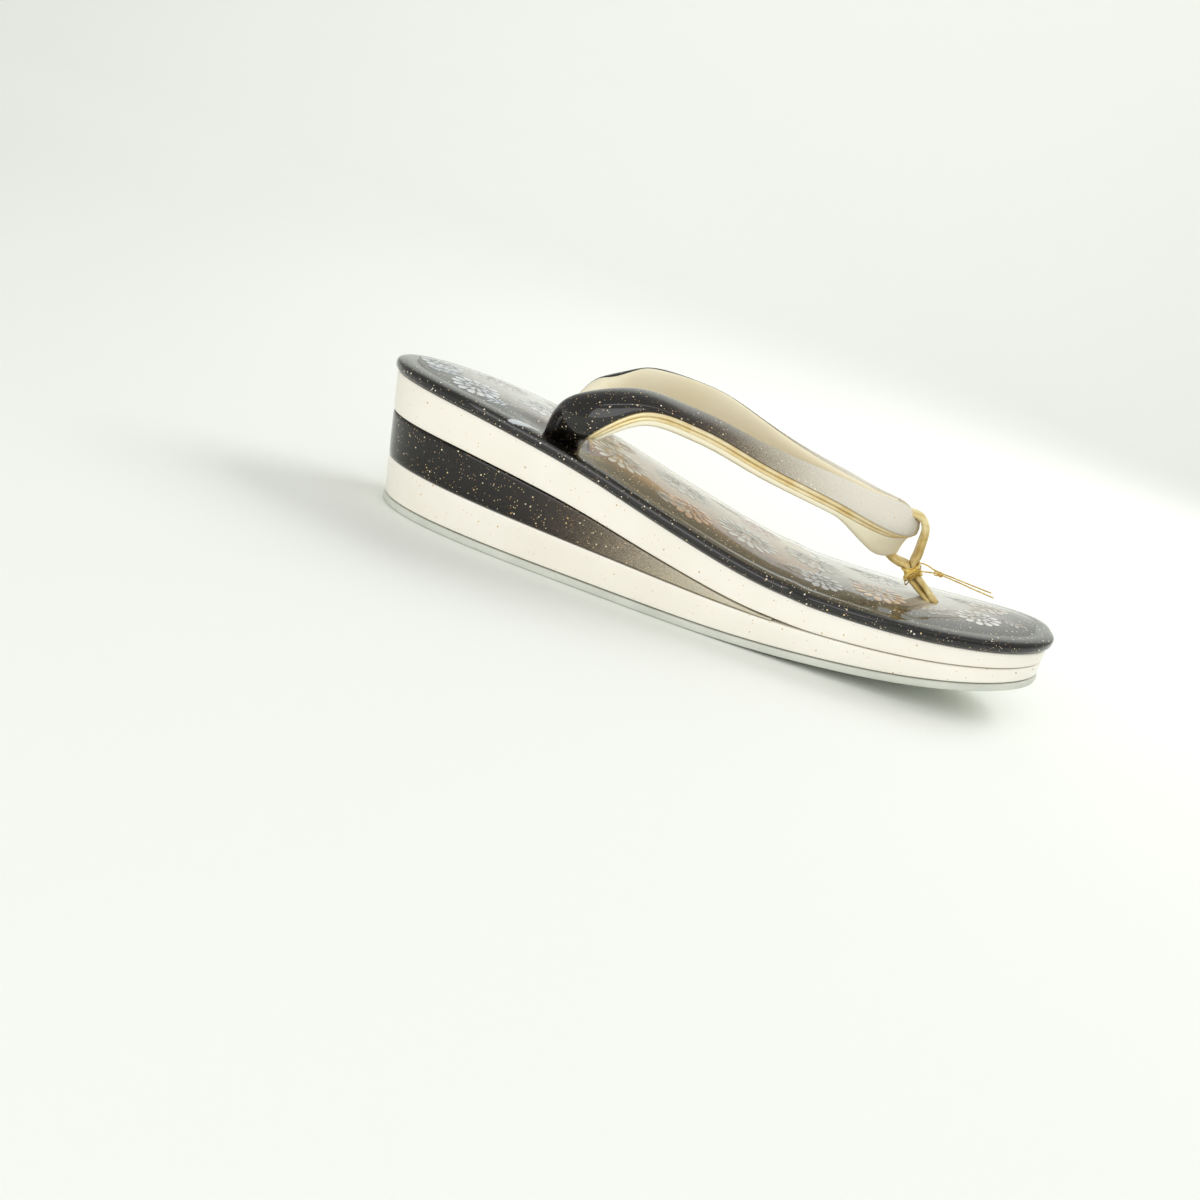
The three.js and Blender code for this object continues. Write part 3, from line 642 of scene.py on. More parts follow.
strapCore = bandPiece("strap_face", coreSection, 2)
strapLining = bandPiece("strap_underside", liningSection, 2)
pipingRolls = (0.88, 2.42)
piping = join([bandPiece("piping_roll", pipingSection(low), 1) for low in pipingRolls], "strap_piping_cords")
print("strap swept")

# Toe loop: a satin band over the V, down both sides and through the footbed

loop = {
    "width": 8.4, "thick": 2.0, "gap": 0.5, "back": 10.0, "rise": 7.9, "tilt": 35, "overRise": 18.6,
    "overReach": 11.8, "bindHeight": 4.2, "steps": 150, "corners": 28, "folds": 0.45, "roomGap": 0.3,
}
holeX = footbed["loopHole"]["x"]
holeZ = footbedTop(holeX, 0)
bindX, bindZ = holeX - loop["back"], holeZ + loop["rise"]
strandHalf = (loop["thick"] + loop["gap"]) / 2


# a point by the binding, which leans back by the loop's tilt
def atBinding(forward, up):
    tilt = radians(loop["tilt"])
    return (
        bindX + forward * cos(tilt) - up * sin(tilt),
        bindZ + forward * sin(tilt) + up * cos(tilt),
    )


# up the front strand, over the V, and down the rear strand; each row is a share back and a share up
def loopPath():
    def nearHole(back, up):
        return (holeX - loop["back"] * back, holeZ + loop["rise"] * up)

    def over(back, up):
        return (bindX - loop["overReach"] * back, bindZ + loop["overRise"] * up)

    endZ = footbedBottom(stationAt(holeX)) + sole["gap"]
    flat = [(holeX + strandHalf + 2.2, endZ), (holeX + strandHalf + 0.3, holeZ)]
    flat += [nearHole(*p) for p in ((0.09, 0.24), (0.31, 0.46), (0.54, 0.67))]
    flat += [atBinding(strandHalf, loop["bindHeight"] * s) for s in (-0.5, 0.05, 0.65)]
    flat += [over(*p) for p in (
        (0.01, 0.32), (0.02, 0.51), (0.08, 0.82), (0.27, 0.985), (0.68, 1.0), (0.94, 0.9), (1.0, 0.67),
        (0.985, 0.42), (0.92, 0.25), (0.74, 0.15), (0.44, 0.09),
    )]
    flat += [atBinding(-strandHalf, loop["bindHeight"] * s) for s in (0.65, 0.05, -0.5)]
    flat += [nearHole(*p) for p in ((0.77, 0.52), (0.55, 0.35), (0.33, 0.18))]
    flat += [(holeX - strandHalf + 0.3, holeZ - 0.3), (holeX - strandHalf + 2.2, endZ)]
    return [(x, strap["shiftIn"], z) for x, z in flat]


# the band, narrower where it is gathered over the V, pinched by the binding, and creased along
def loopBand(name, growth=0, folds=0.0):
    path = loopPath()
    rings = []
    for k in range(loop["steps"] + 1):
        share = k / loop["steps"]
        centre, ahead = splinePoint(path, share), splineAhead(path, share)
        out = Vector((-ahead.z, 0, ahead.x)).normalized()
        pinch = min(clamp((share - 0.44) / 0.1, 0, 1), clamp((0.76 - share) / 0.1, 0, 1))
        tied = 1
        if folds:
            tied = 1 - 0.1 * (exp(-((share - 0.24) / 0.035) ** 2) + exp(-((share - 0.8) / 0.035) ** 2))
        half = loop["width"] / 2 * (1 - 0.4 * pinch * pinch * (3 - 2 * pinch)) * tied + growth
        upper = smooth(share, 0.24, 0.3) * (1 - smooth(share, 0.72, 0.78)) if folds else 0
        deep = loop["thick"] / 2 * (1 + 0.35 * upper) + growth
        ring = []
        for c in range(loop["corners"]):
            angle = 2 * pi * c / loop["corners"]
            across = half * copysign(abs(cos(angle)) ** 0.7, cos(angle))
            rise = deep * copysign(abs(sin(angle)) ** 0.8, sin(angle))
            fold = noise.noise(Vector((across * 0.9, share * 9, 3.1))) * folds
            dent = folds * 0.9 * exp(-((across / half) / 0.28) ** 2)
            rise *= 1 + fold - dent * 0.5
            ring.append(centre + out * rise + Vector((0, across, 0)))
        rings.append(ring)
    piece = loft(name, rings)
    outward(piece)
    return piece


# nothing of the strap stands above the loop where it lies over the V
def roomAboveLoop():
    halfWide = loop["width"] / 2 * 0.8 + loop["roomGap"]
    top = bindZ + loop["overRise"]
    low, high = top - loop["thick"] / 2 - loop["roomGap"], top + 12
    back, front = bindX - loop["overReach"] - 0.6, bindX - loop["overReach"] * 0.05
    side = [
        (front, low - 2.6), (front + 1, low - 1), (front + 1, high), (back - 0.3, high),
        (back - 0.3, low - 1.6), (back + 1.6, low - 0.2), (back + 4, low), (front - 3, low),
    ]
    rings = [[(x, strap["shiftIn"] + y, z) for x, z in side] for y in (-halfWide, halfWide)]
    room = loft("open_above", rings)
    outward(room)
    return room


# a slanting oval hole, for both strands of the loop
def loopHole():
    hole = footbed["loopHole"]
    rings = []
    for rise, ahead in ((-7.0, 2.7), (0.0, 0.25), (4.0, -2.2)):
        ring = []
        for k in range(40):
            turn = 2 * pi * k / 40
            x = holeX + ahead + hole["halfX"] * cos(turn)
            ring.append((x, hole["y"] + hole["halfY"] * sin(turn), holeZ + rise))
        rings.append(ring)
    piece = loft("loop_hole", rings)
    outward(piece)
    return piece


toeLoop = loopBand("toe_loop_band", folds=loop["folds"])
smoothed(toeLoop)
mount(toeLoop, "loop_satin", "toe_loop")

# the footbed's slanting holes are the strap's own shape, a little larger
for section in (coreSection, liningSection):
    cut(footbedPad, bandPiece("root_hole", grown(section, strap["holeClear"]), 1, lead=4))
cut(footbedPad, loopHole())
smoothed(footbedPad, angle=50)

# how far each point lies from the outer edge or the toe, for the fade of the enamel
outerEdge = [p for p in soleRing(footbedTopEdge, footbed["overhang"], 160) if p.y < 6]
wayIn = footbedPad.data.attributes.new("way_in", "FLOAT", "POINT")
for v, entry in zip(footbedPad.data.vertices, wayIn.data):
    entry.value = min(hypot(v.co.x - p.x * mm, v.co.y - p.y * mm) for p in outerEdge)
mount(footbedPad, "printed_enamel", "footbed")
print("footbed made")

# the lining fits round padding and piping, and all of the strap gives way under the loop
loopRoom = loopBand("loop_room", growth=loop["roomGap"])
cut(strapLining, bandPiece("core_room", grown(coreSection, 0.08), 2, lead=1))
for low in pipingRolls:
    cut(strapLining, bandPiece("piping_room", grown(pipingSection(low), 0.1), 1, lead=1))
openAbove = roomAboveLoop()
for piece in (strapCore, strapLining, piping):
    cut(piece, loopRoom, keepTool=True)
    cut(piece, openAbove, keepTool=True)
bpy.data.objects.remove(loopRoom)
bpy.data.objects.remove(openAbove)
smoothed(strapCore, angle=50)
smoothed(strapLining, angle=50)
smoothed(piping, angle=60)
mount(strapCore, "strap_face", "strap")
mount(strapLining, "strap_lining", "strap_lining")
mount(piping, "gold_trim", "strap_piping")
print("strap and toe loop made")

# Thread binding: level turns, then two crossing ones, then a few loose ones

binding = {
    "thread": 0.42, "turns": 8, "clear": 0.12, "crossings": 3, "turnSteps": 36, "wander": 0.16,
    # how far each loose turn hangs down, and where round the strands it starts
    "loose": ((0.6, 0.4), (0.9, 2.2)),
    "knotAt": 0.2, "knotLong": 0.1, "knotWide": 0.55, "knotSteps": 90,
}


# a point of a turn of thread round both strands
def aroundStrands(angle, up, out):
    halfX = strandHalf + loop["thick"] / 2 + out
    halfY = loop["width"] / 2 * 0.93 + out
    forward, aside = cos(angle), sin(angle)
    x, z = atBinding(halfX * copysign(abs(forward) ** 0.6, forward), up)
    return (x, strap["shiftIn"] + halfY * copysign(abs(aside) ** 0.6, aside), z)


def bindingPieces():
    thread, height = binding["thread"], loop["bindHeight"]
    first = binding["clear"] + thread / 2
    level = []
    steps = binding["turns"] * 40
    for k in range(steps + 1):
        share = k / steps
        wander = binding["wander"] * noise.noise(Vector((share * 21, 0.4, 1.7)))
        angle = share * binding["turns"] * 2 * pi + pi
        level.append(aroundStrands(angle, height * (0.42 - 0.84 * share) + wander, first + abs(wander)))
    pieces = [threadCurve("level_turns", level, thread)]
    for slant in (-1, 1):
        crossing = []
        layer = 1.1 if slant < 0 else 1.75
        for k in range(binding["crossings"] * binding["turnSteps"] + 1):
            angle = 2 * pi * k / binding["turnSteps"]
            lift = height * 0.52 * slant * cos(angle + 0.35 * slant)
            drift = 0.35 * sin(angle * 0.31 + slant)
            crossing.append(aroundStrands(angle, lift + drift, first + thread * layer))
        pieces.append(threadCurve("crossing_turns", crossing, thread))
    for drop, start in binding["loose"]:
        loose = []
        for k in range(2 * binding["turnSteps"] + 1):
            angle = 2 * pi * k / binding["turnSteps"] + start
            lift = height * (0.1 - drop * 0.5 + drop * 0.6 * cos(angle))
            loose.append(aroundStrands(angle, lift, first + thread * (1.4 + 0.3 * drop)))
        pieces.append(threadCurve("loose_turns", loose, thread))
    # the knot's turns lie round the nearer loose end
    knot, route = [], threadEnds["thread_end_b"]
    ahead = splineAhead(route, binding["knotAt"] + binding["knotLong"] / 2)
    aside = ahead.cross(Vector((0, 0, 1))).normalized()
    for k in range(binding["knotSteps"] + 1):
        share, angle = k / binding["knotSteps"], 2 * pi * k / 20
        centre = splinePoint(route, binding["knotAt"] + binding["knotLong"] * share)
        wide = binding["knotWide"] + 0.25 * sin(angle * 0.37)
        knot.append(centre + aside * wide * cos(angle) + aside.cross(ahead) * wide * sin(angle))
    pieces.append(threadCurve("knot", knot, thread))
    return pieces


wraps = bindingPieces()
for piece in wraps:
    onlyThis(piece)
    bpy.ops.object.convert(target="MESH")
threadBinding = join(wraps, "thread_binding")
smoothed(threadBinding)
mount(threadBinding, "gold_thread", "loop_binding")
print("binding made")

# Print: blossoms and leaves laid on the footbed, each petal a thin raised fan

printed = {
    "lift": 0.04, "relief": 0.14, "columns": (-1, -0.75, 0, 0.75, 1),
    "outline": "#57524e", "stalk": "#77706a",
    "dropFrom": 200, "steepest": 0.15, "leafTurn": 42, "leafLong": 0.36, "leafWide": 0.075,
}
# how far along the petal, and the share of its width there
petalRows = ((0.0, 0.2), (0.18, 0.6), (0.42, 0.9), (0.68, 1.0), (0.88, 0.7), (1.0, 0.15))
blossomRows = [
    # x, y, radius, petals, turn, colour at the eye, colour at the rim
    (-106, 0, 8, 12, 0, "#7f8791", "#e9eef4"),
    (-90, -15, 9, 13, 20, "#8b93a0", "#f1f4f8"),
    (-86, 13, 10, 15, 8, "#a99f95", "#f4f1ea"),
    (-67, -1, 10, 14, 15, "#9ba0a8", "#f3f3f1"),
    (-42, 14, 9, 13, 4, "#b98a63", "#f0dcc4"),
    (-37, -10, 11, 16, 11, "#a4a29e", "#f6f4ee"),
    (-14, 8, 12, 16, 0, "#a9a49d", "#f7f5f0"),
    (-9, -19, 9, 13, 25, "#b5774a", "#eec7a6"),
    (12, -9, 12, 17, 6, "#a8a49e", "#f5f4f0"),
    (16, 17, 9, 13, 30, "#c09a92", "#f3ddd8"),
    (37, 3, 11, 15, 0, "#aaa59d", "#f6f4ee"),
    (40, -20, 8, 12, 14, "#9fa4ab", "#eff1f3"),
    (60, -11, 10, 14, 9, "#b98a63", "#efd9bf"),
    (62, 14, 9, 13, 18, "#a8a49e", "#f5f4f0"),
    (94, -9, 8, 12, 0, "#a8a49e", "#f3f2ee"),
    (99, 9, 7, 11, 16, "#b5a08c", "#efe6da"),
]
leafRows = [
    # x, y, heading, length, leaves on a side (none is one single leaf), colour
    (-112, -11, 20, 16, 4, "#aeb7c2"),
    (-76, -19, 205, 10, 3, "#d7e2ee"),
    (-62, -28.5, 206, 13, 0, "#eef4fb"),
    (-70, 15, -20, 18, 4, "#c9c4bb"),
    (-56, 0, 10, 16, 4, "#c5bfb4"),
    (-24, -24, 15, 15, 4, "#c2bdb5"),
    (-4, 20, 12, 15, 4, "#d0cac0"),
    (24, -22, 20, 14, 4, "#c8c2b8"),
    (26, 10, -60, 12, 3, "#cfc8bd"),
    (48, 16, 15, 12, 3, "#cbc5bb"),
    (49, -4, -25, 12, 3, "#c9c3b9"),
    (72, -18, 30, 14, 4, "#c4beb4"),
    (84, 14, -10, 14, 4, "#c9c3ba"),
    (102, -4, -40, 9, 3, "#c4beb5"),
]


# an sRGB hex colour turned linear
def hexColour(text, alpha=1):
    parts = [int(text[k:k + 2], 16) / 255 for k in (1, 3, 5)]
    return (*[c / 12.92 if c <= 0.04045 else ((c + 0.055) / 1.055) ** 2.4 for c in parts], alpha)


# one petal, dropped on the footbed from above; none where the footbed has a hole or ends
def petal(fans, base, heading, length, wide, eye, rim):
    ahead = Vector((cos(heading), sin(heading)))
    beside = Vector((-ahead.y, ahead.x))
    inner, outer, outline = hexColour(eye), hexColour(rim), hexColour(printed["outline"])
    spots, shades = [], []
    for along, broad in petalRows:
        for across in printed["columns"]:
            spot = Vector(base) + ahead * (length * along) + beside * (wide * broad * across)
            start = (spot.x * mm, spot.y * mm, printed["dropFrom"] * mm)
            hit, place, normal, _ = footbedPad.ray_cast(start, (0, 0, -1))
            if not hit or normal.z < printed["steepest"]:
                return
            arch = (1 - across * across) * sin(pi * (0.1 + 0.8 * along))
            spots.append(place / mm + normal * (printed["lift"] + printed["relief"] * arch))
            blend = [i + (o - i) * along ** 0.7 for i, o in zip(inner, outer)]
            shades.append(outline if abs(across) == 1 else blend)
    first, columns = len(fans["points"]), len(printed["columns"])
    fans["points"] += spots
    fans["shades"] += shades
    for r in range(len(petalRows) - 1):
        for c in range(columns - 1):
            k = first + r * columns + c
            fans["faces"].append((k, k + columns, k + columns + 1, k + 1))


def footbedPrint():
    fans = {"points": [], "faces": [], "shades": []}
    for x, y, radius, count, turn, eye, rim in blossomRows:
        for inner, outer, share, ring in ((0.5, 1.0, 2.3, count), (0.16, 0.5, 1.84, count - 4)):
            for k in range(ring):
                heading = radians(turn) + 2 * pi * k / ring
                base = (x + radius * inner * cos(heading), y + radius * inner * sin(heading))
                reach = (outer - inner) * radius * (1 - 0.12 * random.random())
                petal(fans, base, heading, reach, share * outer * radius / ring, eye, rim)
    for x, y, heading, length, leaves, colour in leafRows:
        stem = radians(heading)
        petal(fans, (x, y), stem, length, 0.35 if leaves else 2.2, colour, colour)
        leafLong, leafWide = length * printed["leafLong"], length * printed["leafWide"]
        for k in range(leaves):
            far = length * (0.2 + 0.7 * k / leaves)
            base = (x + far * cos(stem), y + far * sin(stem))
            for side in (-1, 1):
                turned = stem + side * radians(printed["leafTurn"])
                petal(fans, base, turned, leafLong, leafWide, printed["stalk"], colour)
    piece = pieceFrom("footbed_print", fans["points"], fans["faces"])
    outward(piece)
    colours = piece.data.color_attributes.new("print", "FLOAT_COLOR", "POINT")
    for entry, shade in zip(colours.data, fans["shades"]):
        entry.color = shade
    smoothed(piece)
    return piece


petals = footbedPrint()
mount(petals, "printed_enamel")
print("print laid,", len(petals.data.polygons), "faces")

# Materials


# sources linked into the inputs of a node
def link(node, links):
    for key, source in links.items():
        socket = source if isinstance(source, bpy.types.NodeSocket) else source.outputs[0]
        node.id_data.links.new(socket, node.inputs[key])


# a node of a kind, and what it works out if it can do several things, with its settings and what feeds it;
# the stops of a ramp are pairs of place and colour
def addNode(tree, kind, settings=None, links=None):
    kind, _, operation = kind.partition(" ")
    node = tree.nodes.new("ShaderNode" + kind)
    if operation:
        node.operation = operation
    for key, value in (settings or {}).items():
        if key == "stops":
            elements = node.color_ramp.elements
            while len(elements) < len(value):
                elements.new(0.5)
            for element, (place, colour) in zip(elements, value):
                element.position = place
                element.color = hexColour(colour)
        elif isinstance(key, str) and hasattr(node, key):
            setattr(node, key, value)
        else:
            node.inputs[key].default_value = value
    link(node, links or {})
    return node


def newMaterial(name, shader):
    material = bpy.data.materials.new(name)
    material.use_nodes = True
    tree = material.node_tree
    tree.nodes.clear()
    surface = addNode(tree, "BsdfPrincipled", shader)
    addNode(tree, "OutputMaterial", links={"Surface": surface})
    place = addNode(tree, "TexCoord").outputs["Object"]
    return material, tree, surface, place


# the last step of a surface: its colour, and its relief with a depth in millimetres
def finishSurface(surface, colour, height, depth, strength):
    settings = {"Distance": depth * mm, "Strength": strength}
    relief = addNode(surface.id_data, "Bump", settings, {"Height": height})
    link(surface, {"Base Color": colour, "Normal": relief})


# a colour that drifts between tones in soft clouds
def clouded(tree, place, scale, detail, *stops):
    cloud = addNode(tree, "TexNoise", {"Scale": scale, "Detail": detail}, {"Vector": place})
    return addNode(tree, "ValToRGB", {"stops": stops}, {0: cloud})


# glitter under the coat: for each kind of fleck, one in some of the cells of a pattern; the rows are
# size of the cells, share that has one, its radius, and its darkest and lightest colour; the flecks are
# real glitter, and the random lightness of each between the two colours is a painted glint
def glitter(tree, place, base, *fleckRows):
    for size, share, radius, dark, light in fleckRows:
        cells = addNode(tree, "TexVoronoi", {"Scale": 1 / (size * mm)}, {"Vector": place})
        chance = addNode(tree, "SeparateColor", links={0: cells.outputs["Color"]})
        near = addNode(tree, "Math LESS_THAN", {1: radius / size}, {0: cells.outputs["Distance"]})
        picked = addNode(tree, "Math LESS_THAN", {1: share}, {0: chance})
        shown = addNode(tree, "Math MULTIPLY", {}, {0: near, 1: picked})
        # the glitter's own colour, made lighter at random per fleck as a painted glint
        fleckColourAndGlint = addNode(tree, "ValToRGB", {"stops": ((0, dark), (1, light))}, {0: chance.outputs[1]})
        base = addNode(tree, "Mix", {"data_type": "RGBA"}, {0: shown, 6: base, 7: fleckColourAndGlint}).outputs[2]
    return base


# a sprayed fade: the way along it, broken up into fine grains
def sprayed(tree, place, along, start, end, grain, spread):
    run = addNode(tree, "MapRange", {1: start * mm, 2: end * mm}, {0: along})
    step = (grain * mm, grain * mm, grain * mm)
    spots = addNode(tree, "VectorMath SNAP", {1: step}, {0: place})
    chance = addNode(tree, "TexWhiteNoise", links={"Vector": spots})
    shift = addNode(tree, "Math MULTIPLY_ADD", {1: spread, 2: -spread / 2}, {0: chance})
    return addNode(tree, "Math ADD", {}, {0: run, 1: shift})


# Sponge rubber sheet, cut and buffed: pale grey-green, matt, finely pitted, a crossed tread below
rubber, tree, surface, place = newMaterial("sponge_rubber", {
    "Roughness": 0.62, "IOR": 1.52, "Specular IOR Level": 0.3,
})
mottled = clouded(tree, place, 60.0, 3.0, (0.3, "#c6cac0"), (0.7, "#dadcd2"))
grain = addNode(tree, "TexNoise", {"Scale": 900.0, "Detail": 5.0}, {"Vector": place})
turned = addNode(tree, "Mapping", {"Scale": (1, -1, 1)}, {"Vector": place})
ribs, crossRibs = [
    addNode(tree, "TexWave", {"Scale": 62.0, "bands_direction": "DIAGONAL"}, {"Vector": way}).outputs[1]
    for way in (place, turned)
]
normal = addNode(tree, "NewGeometry").outputs["Normal"]
faceWay = addNode(tree, "SeparateXYZ", links={0: normal})
below = addNode(tree, "Math LESS_THAN", {1: -0.7}, {0: faceWay.outputs[2]})
tread = addNode(tree, "Math MAXIMUM", {}, {0: ribs, 1: crossRibs})
tread = addNode(tree, "Math MULTIPLY", {}, {0: tread, 1: below})
relief = addNode(tree, "Math MULTIPLY_ADD", {1: 0.12}, {0: grain, 2: tread})
finishSurface(surface, mottled, relief, 0.5, 0.6)

# Pearl enamel wrapped over sponge: ivory, soft gloss under a clear coat, gold flecks, a seam at the toe
enamel, tree, surface, place = newMaterial("pearl_enamel", {
    "Roughness": 0.4, "IOR": 1.5, "Specular IOR Level": 0.35, "Coat Weight": 0.4, "Coat Roughness": 0.14,
})
ivory = clouded(tree, place, 28.0, 4.0, (0.25, "#f2ecdf"), (0.75, "#faf6ec"))
flecked = glitter(
    tree, place, ivory,
    (1.7, 0.55, 0.17, "#c39457", "#dcc08e"),
    (3.2, 0.4, 0.3, "#b98c46", "#e0c48c"),
)
spot = addNode(tree, "SeparateXYZ", links={0: place})
aside = addNode(tree, "Math SUBTRACT", {1: 2.4 * mm}, {0: spot.outputs[1]})
aside = addNode(tree, "Math ABSOLUTE", {}, {0: aside})
onSeam = addNode(tree, "Math LESS_THAN", {1: 0.2 * mm}, {0: aside})
atToe = addNode(tree, "Math GREATER_THAN", {1: 100 * mm}, {0: spot})
seam = addNode(tree, "Math MULTIPLY", {}, {0: onSeam, 1: atToe})
seamed = addNode(tree, "Mix", {"data_type": "RGBA", 7: hexColour("#b9ae97")}, {0: seam, 6: flecked})
skin = addNode(tree, "TexNoise", {"Scale": 260.0, "Detail": 3.0}, {"Vector": place})
height = addNode(tree, "Math MULTIPLY_ADD", {1: -3.0}, {0: seam, 2: skin})
finishSurface(surface, seamed.outputs[2], height, 0.05, 0.3)

# Urethane lacquer over the wedge: black-brown, mirror gloss, gold flecks, pale bronze towards its tip
lacquer, tree, surface, place = newMaterial("black_brown_lacquer", {
    "Roughness": 0.4, "IOR": 1.45, "Specular IOR Level": 0.12,
    "Coat Weight": 1.0, "Coat Roughness": 0.015, "Coat IOR": 1.46,
})
spot = addNode(tree, "SeparateXYZ", links={0: place})
fade = sprayed(tree, place, spot, -75, 15, 0.22, 0.2)
bronze = addNode(tree, "ValToRGB", {"stops": (
    (0.0, "#0d0907"), (0.2, "#1b130e"), (0.36, "#3b3026"),
    (0.52, "#716554"), (0.76, "#b3a993"), (1.0, "#cfc7b2"),
)}, {0: fade})
flecked = glitter(
    tree, place, bronze,
    (0.95, 0.55, 0.16, "#a8763a", "#f3dcaa"),
    (1.9, 0.6, 0.25, "#d9a85c", "#fff3cf"),
)
ripple = addNode(tree, "TexNoise", {"Scale": 55.0, "Detail": 2.0}, {"Vector": place})
finishSurface(surface, flecked, ripple, 0.25, 0.35)

# Printed enamel of the footbed: dark rolled edge, silver-grey inside, a tan band, under a mirror coat
printedEnamel, tree, surface, place = newMaterial("printed_enamel", {
    "Roughness": 0.35, "IOR": 1.48, "Specular IOR Level": 0.2,
    "Coat Weight": 1.0, "Coat Roughness": 0.02, "Coat IOR": 1.5,
})
spot = addNode(tree, "SeparateXYZ", links={0: place})
cloud = addNode(tree, "TexNoise", {"Scale": 26.0, "Detail": 4.0}, {"Vector": place})
wayIn = addNode(tree, "Attribute", {"attribute_name": "way_in"}).outputs["Fac"]
uneven = addNode(tree, "Math MULTIPLY_ADD", {1: 0.01}, {0: cloud, 2: wayIn})
fade = sprayed(tree, place, uneven, 5, 75, 0.2, 0.06)
fadePlaces = (0.0, 0.15, 0.22, 0.34, 0.55, 1.0)
greyTones = ("#0a0807", "#100d0b", "#37322f", "#96918b", "#c8c5bd", "#d6d4cd")
tanTones = ("#0b0807", "#150e0b", "#553722", "#a98460", "#c6b295", "#cfc4ae")
greys, tans = [
    addNode(tree, "ValToRGB", {"stops": list(zip(fadePlaces, tones))}, {0: fade})
    for tones in (greyTones, tanTones)
]
# along the middle the tan band runs from x -50 to 40 mm, and it is shorter at the sides
bow = addNode(tree, "Math MULTIPLY", {}, {0: spot.outputs[1], 1: spot.outputs[1]})
rear = addNode(tree, "Math MULTIPLY_ADD", {1: -7.0, 2: 50 * mm}, {0: bow})
rear = addNode(tree, "Math ADD", {}, {0: rear, 1: spot})
front = addNode(tree, "Math MULTIPLY_ADD", {1: -8.0, 2: 40 * mm}, {0: bow})
front = addNode(tree, "Math SUBTRACT", {}, {0: front, 1: spot})
nearest = addNode(tree, "Math MINIMUM", {}, {0: rear, 1: front})
inBand = addNode(tree, "Math GREATER_THAN", {1: 0.0}, {0: nearest})
banded = addNode(tree, "Mix", {"data_type": "RGBA"}, {0: inBand, 6: greys, 7: tans}).outputs[2]
fromEdge = addNode(tree, "Math ABSOLUTE", {}, {0: nearest})
onEdge = addNode(tree, "Math LESS_THAN", {1: 0.4 * mm}, {0: fromEdge})
lined = addNode(tree, "Mix", {"data_type": "RGBA", 7: hexColour("#2c211c")}, {0: onEdge, 6: banded})
flecked = glitter(
    tree, place, lined.outputs[2],
    (0.9, 0.5, 0.15, "#a9773c", "#f3e2bd"),
    (1.8, 0.65, 0.28, "#e6c68c", "#fffbee"),
)
ripple = addNode(tree, "TexNoise", {"Scale": 50.0, "Detail": 2.0}, {"Vector": place})
finishSurface(surface, flecked, ripple, 0.2, 0.3)

# Raised print on the footbed: coloured enamel inks under the same clear coat, dimmer on the outer edge
inks, tree, surface, place = newMaterial("raised_print", {
    "Roughness": 0.35, "IOR": 1.48, "Specular IOR Level": 0.3,
    "Coat Weight": 1.0, "Coat Roughness": 0.03, "Coat IOR": 1.5,
})
shade = addNode(tree, "Attribute", {"attribute_name": "print"})
spot = addNode(tree, "SeparateXYZ", links={0: place})
dim = addNode(tree, "MapRange", {1: -31 * mm, 2: -12 * mm, 3: 0.65, 4: 0.9}, {0: spot.outputs[1]})
shaded = addNode(tree, "Mix", {"data_type": "RGBA", 6: hexColour("#2a2522")}, {0: dim, 7: shade})
link(surface, {"Base Color": shaded.outputs[2]})

# Strap face: enamel over padding, sprayed from black at the roots to champagne at the V, fine glitter
strapEnamel, tree, surface, place = newMaterial("sprayed_strap_enamel", {
    "Roughness": 0.45, "IOR": 1.48, "Specular IOR Level": 0.2, "Coat Roughness": 0.05, "Coat IOR": 1.46,
})
spot = addNode(tree, "SeparateXYZ", links={0: place})
fade = sprayed(tree, place, spot, -45, 45, 0.22, 0.16)
champagne = addNode(tree, "ValToRGB", {"stops": (
    (0.0, "#0a0706"), (0.12, "#120d0b"), (0.32, "#332b25"), (0.48, "#675d50"),
    (0.64, "#a79e8d"), (0.82, "#d3cdbf"), (1.0, "#dcd7ca"),
)}, {0: fade})
coat = addNode(tree, "MapRange", {1: 0.15, 2: 0.7, 3: 1.0, 4: 0.12}, {0: fade})
link(surface, {"Coat Weight": coat})
flecked = glitter(
    tree, place, champagne,
    (0.9, 0.5, 0.15, "#a9773c", "#f3dfb4"),
    (1.9, 0.5, 0.26, "#d9ab64", "#fff5da"),
)
ripple = addNode(tree, "TexNoise", {"Scale": 70.0, "Detail": 2.0}, {"Vector": place})
finishSurface(surface, flecked, ripple, 0.25, 0.3)

# Lining: cream synthetic leather, smooth and soft
lining, tree, surface, place = newMaterial("cream_synthetic_leather", {
    "Roughness": 0.48, "IOR": 1.5, "Specular IOR Level": 0.4, "Sheen Weight": 0.1,
})
cream = clouded(tree, place, 60.0, 4.0, (0.25, "#f5eac8"), (0.75, "#fbf4dc"))
pores = addNode(tree, "TexVoronoi", {"Scale": 2200.0}, {"Vector": place})
finishSurface(surface, cream, pores, 0.06, 0.5)

# Piping: light gold foil cloth rolled over cords
foil, tree, surface, place = newMaterial("gold_foil_cloth", {"Roughness": 0.36, "Metallic": 0.35, "IOR": 1.5})
gold = clouded(tree, place, 180.0, 3.0, (0.3, "#ead092"), (0.7, "#faedc6"))
cloth = {"Scale": 420.0, "Distortion": 1.5, "bands_direction": "DIAGONAL"}
weave = addNode(tree, "TexWave", cloth, {"Vector": place})
finishSurface(surface, gold, weave.outputs[1], 0.05, 0.5)

# Toe loop: crinkled gold satin with a fine grain of yarns
satin, tree, surface, place = newMaterial("gold_satin", {"Roughness": 0.42, "Metallic": 0.1, "IOR": 1.5})
gold = clouded(tree, place, 260.0, 4.0, (0.3, "#b5974f"), (0.5, "#d3b975"), (0.72, "#efdfaa"))
yarn = addNode(tree, "TexNoise", {"Scale": 700.0, "Detail": 3.0}, {"Vector": place})
finishSurface(surface, gold, yarn, 0.1, 0.5)

